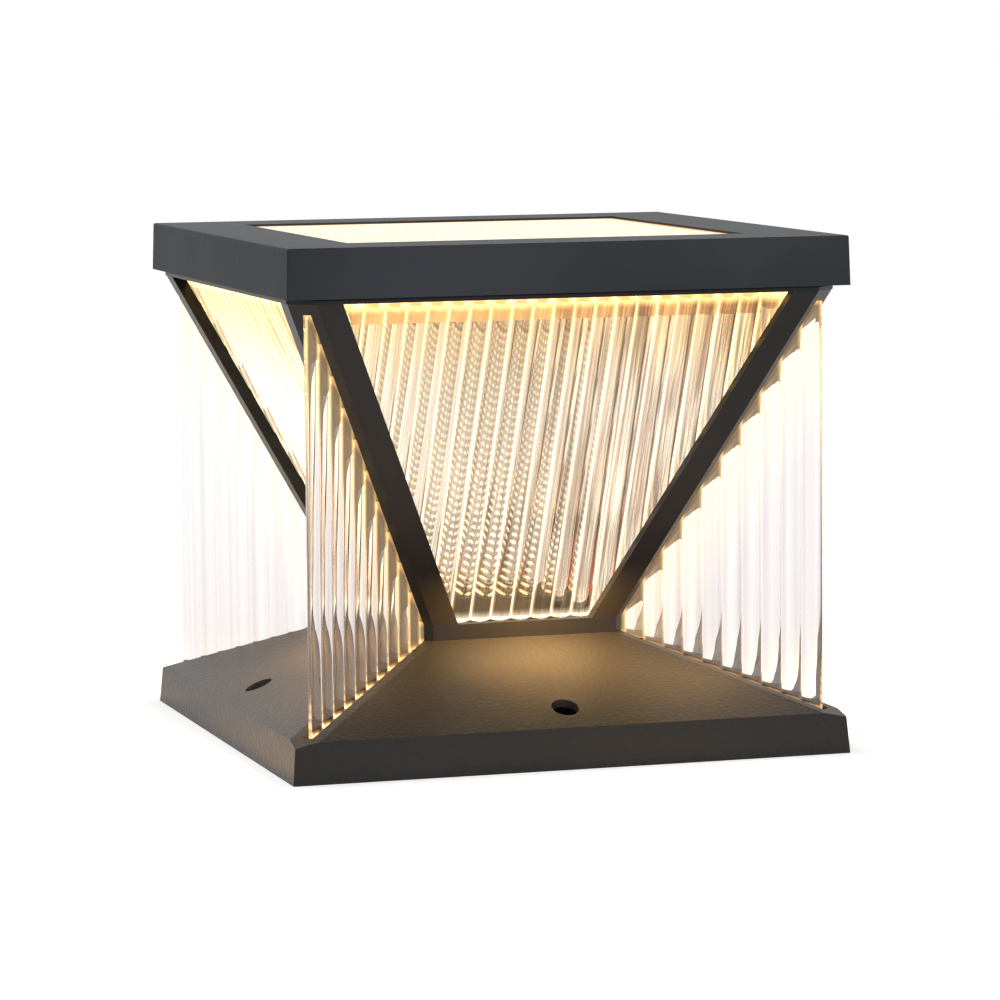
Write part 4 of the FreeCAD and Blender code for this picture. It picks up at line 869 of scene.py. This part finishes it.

# %% [markdown]
# ## Patterned column
#
# A clear tube stands on the foot light. Its wall is moulded with rows of rounded
# scales, which catch the light as stacked arcs. Their light is painted in the material:
# painted shade greys the wall between the scales, and a painted glow lies on the crests,
# fading upwards and warmer near the foot light. A bump would hardly show through the
# flutes, so the relief is real: the tree waves a fine tube's radius along each scale,
# and lets the waves sag towards its sides.

# %% Column material, with painted shade and painted glow
ON_SCALE = (0.35, 0.90)
CREST = (0.45, 0.98)
COLUMN_FADE = (60 * MM, 150 * MM)
FAR_SHARE = 0.35
WARM_FOOT = (55 * MM, 85 * MM)
tree, shader = new_material("patterned_clear_wall", (1.0, 0.99, 0.96, 1), 0.08,
                            IOR=1.49, Transmission_Weight=1.0)
scale = kept_value(tree, "scale_height")
# Painted shade: the wall is greyer where the relief is low, between the scales.
tint = blended(tree, spread(tree, scale, *ON_SCALE), (0.66, 0.63, 0.60, 1), (1.0, 0.99, 0.97, 1))
feed(tree, shader.inputs["Base Color"], tint)
# Painted glow on the crests, fading upwards and warmer near the foot light.
upright = add_node(tree, "ShaderNodeSeparateXYZ", Vector=object_place(tree)).outputs[2]
nearer_foot = spread(tree, upright, *COLUMN_FADE, 1.0, FAR_SHARE)
crest_glow = sums(tree, "MULTIPLY", spread(tree, scale, *CREST), nearer_foot)
warmer = spread(tree, upright, *WARM_FOOT, 1.0, 0.0)
shine(tree, shader, blended(tree, warmer, paint(236, 220, 196), paint(255, 186, 92)), crest_glow)

# %% The scaled tube's tree
SCALE_SAG = 0.3
SCALE_WAVE = 0.35
INNER_SHARE = 0.6

tube, given, out = new_tree("scaled_tube", [
    ("Radius", 30 * MM), ("Wall", 3 * MM), ("Height", 130 * MM), ("Foot", 50 * MM),
    ("Scales round", 22), ("Scale rows", 40), ("Relief", 0.9 * MM), ("Steps", 6)])
around = sums(tube, "MULTIPLY", given["Scales round"], given["Steps"])
upwards = sums(tube, "MULTIPLY", given["Scale rows"], given["Steps"])
shell = add_node(tube, "GeometryNodeMeshCylinder", {"fill_type": "NONE"}, Vertices=around,
                 Side_Segments=upwards, Radius=given["Radius"], Depth=given["Height"])
x, y, z = position_parts(tube)
angle = sums(tube, "DIVIDE", sums(tube, "ARCTAN2", y, x), 2 * math.pi)
turns = sums(tube, "MULTIPLY", sums(tube, "ADD", angle, 1.0), given["Scales round"])
off_middle = sums(tube, "ABSOLUTE", sums(tube, "SUBTRACT", sums(tube, "FRACT", turns), 0.5))
side = sums(tube, "POWER", sums(tube, "MULTIPLY", off_middle, 2.0), 2.0)
rows = sums(tube, "DIVIDE", sums(tube, "MULTIPLY", z, given["Scale rows"]), given["Height"])
row_place = sums(tube, "ADD", rows, sums(tube, "MULTIPLY", side, SCALE_SAG))
wave = sums(tube, "COSINE", sums(tube, "MULTIPLY", row_place, 2 * math.pi))
round_part = sums(tube, "SQRT", sums(tube, "SUBTRACT", 1.0, side))
waved = sums(tube, "ADD", sums(tube, "MULTIPLY", wave, SCALE_WAVE), 1 - SCALE_WAVE)
relief = sums(tube, "MULTIPLY", round_part, waved)
below_crest = sums(tube, "MULTIPLY", sums(tube, "SUBTRACT", relief, 1.0), given["Relief"])
reach = sums(tube, "ADD", 1.0, sums(tube, "DIVIDE", below_crest, given["Radius"]))
from_foot = sums(tube, "ADD", z, sums(tube, "MULTIPLY", given["Height"], 0.5))
kept = remember(tube, shell.outputs["Mesh"], "scale_height", relief)
relieved = moved(tube, kept, sums(tube, "MULTIPLY", x, reach), sums(tube, "MULTIPLY", y, reach),
                 sums(tube, "ADD", from_foot, given["Foot"]))
inner = add_node(tube, "GeometryNodeExtrudeMesh", {"mode": "FACES"}, Mesh=relieved, Individual=False,
                 Offset_Scale=sums(tube, "MULTIPLY", given["Wall"], -INNER_SHARE))
close_tree(tube, out, joined(tube, inner.outputs[0], relieved), given["Material"])

# %% Column
column_low, column_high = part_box("inner_column")
column_values = {"Radius": column_high.x, "Wall": 3 * MM, "Height": column_high.z - column_low.z,
                 "Foot": column_low.z}
column = grown("scaled_column", tube, "patterned_clear_wall", column_values, sharp=60.0)
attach(column, "root")
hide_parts("inner_column")
column.visible_shadow = False
wear("patterned_clear_wall", ["column_lid"])
print("column faces:", len(column.data.polygons))

# %% [markdown]
# ## Warm light from inside
#
# The lantern throws pools of warm light on the base's roof. Light that has passed a
# clear sheet is slow to find by tracing paths through it, so the pools are made by
# narrow lamps close to the roof: one above each slope, and one beside each fin, where
# the light reaches along the hip. The clear sheets throw no shadow for the same reason.

# %% Warm lamps
WARM = (1.0, 0.53, 0.17)
SLOPE_PLACE, SLOPE_AIM = Vector((0.0, -0.080, 0.074)), Vector((0.0, -0.068, 0.044))
SLOPE_SIZE, SLOPE_POWER = (50 * MM, 12 * MM), 0.50
HIP_PLACE, HIP_AIM = Vector((0.118, -0.020, 0.062)), Vector((0.122, -0.015, 0.030))
HIP_SIZE, HIP_POWER = (20 * MM, 60 * MM), 0.16

for side, quarters in SIDES:
    facing = turned(quarters)
    area_lamp("warm_lamp_" + side, facing @ SLOPE_PLACE, facing @ SLOPE_AIM, SLOPE_SIZE, SLOPE_POWER,
              WARM, mirrored=False)
for corner, quarters in CORNERS:
    diagonal = turned(quarters, QUARTER / 2)
    area_lamp("hip_lamp_" + corner, diagonal @ HIP_PLACE, diagonal @ HIP_AIM, HIP_SIZE, HIP_POWER,
              WARM, mirrored=False)
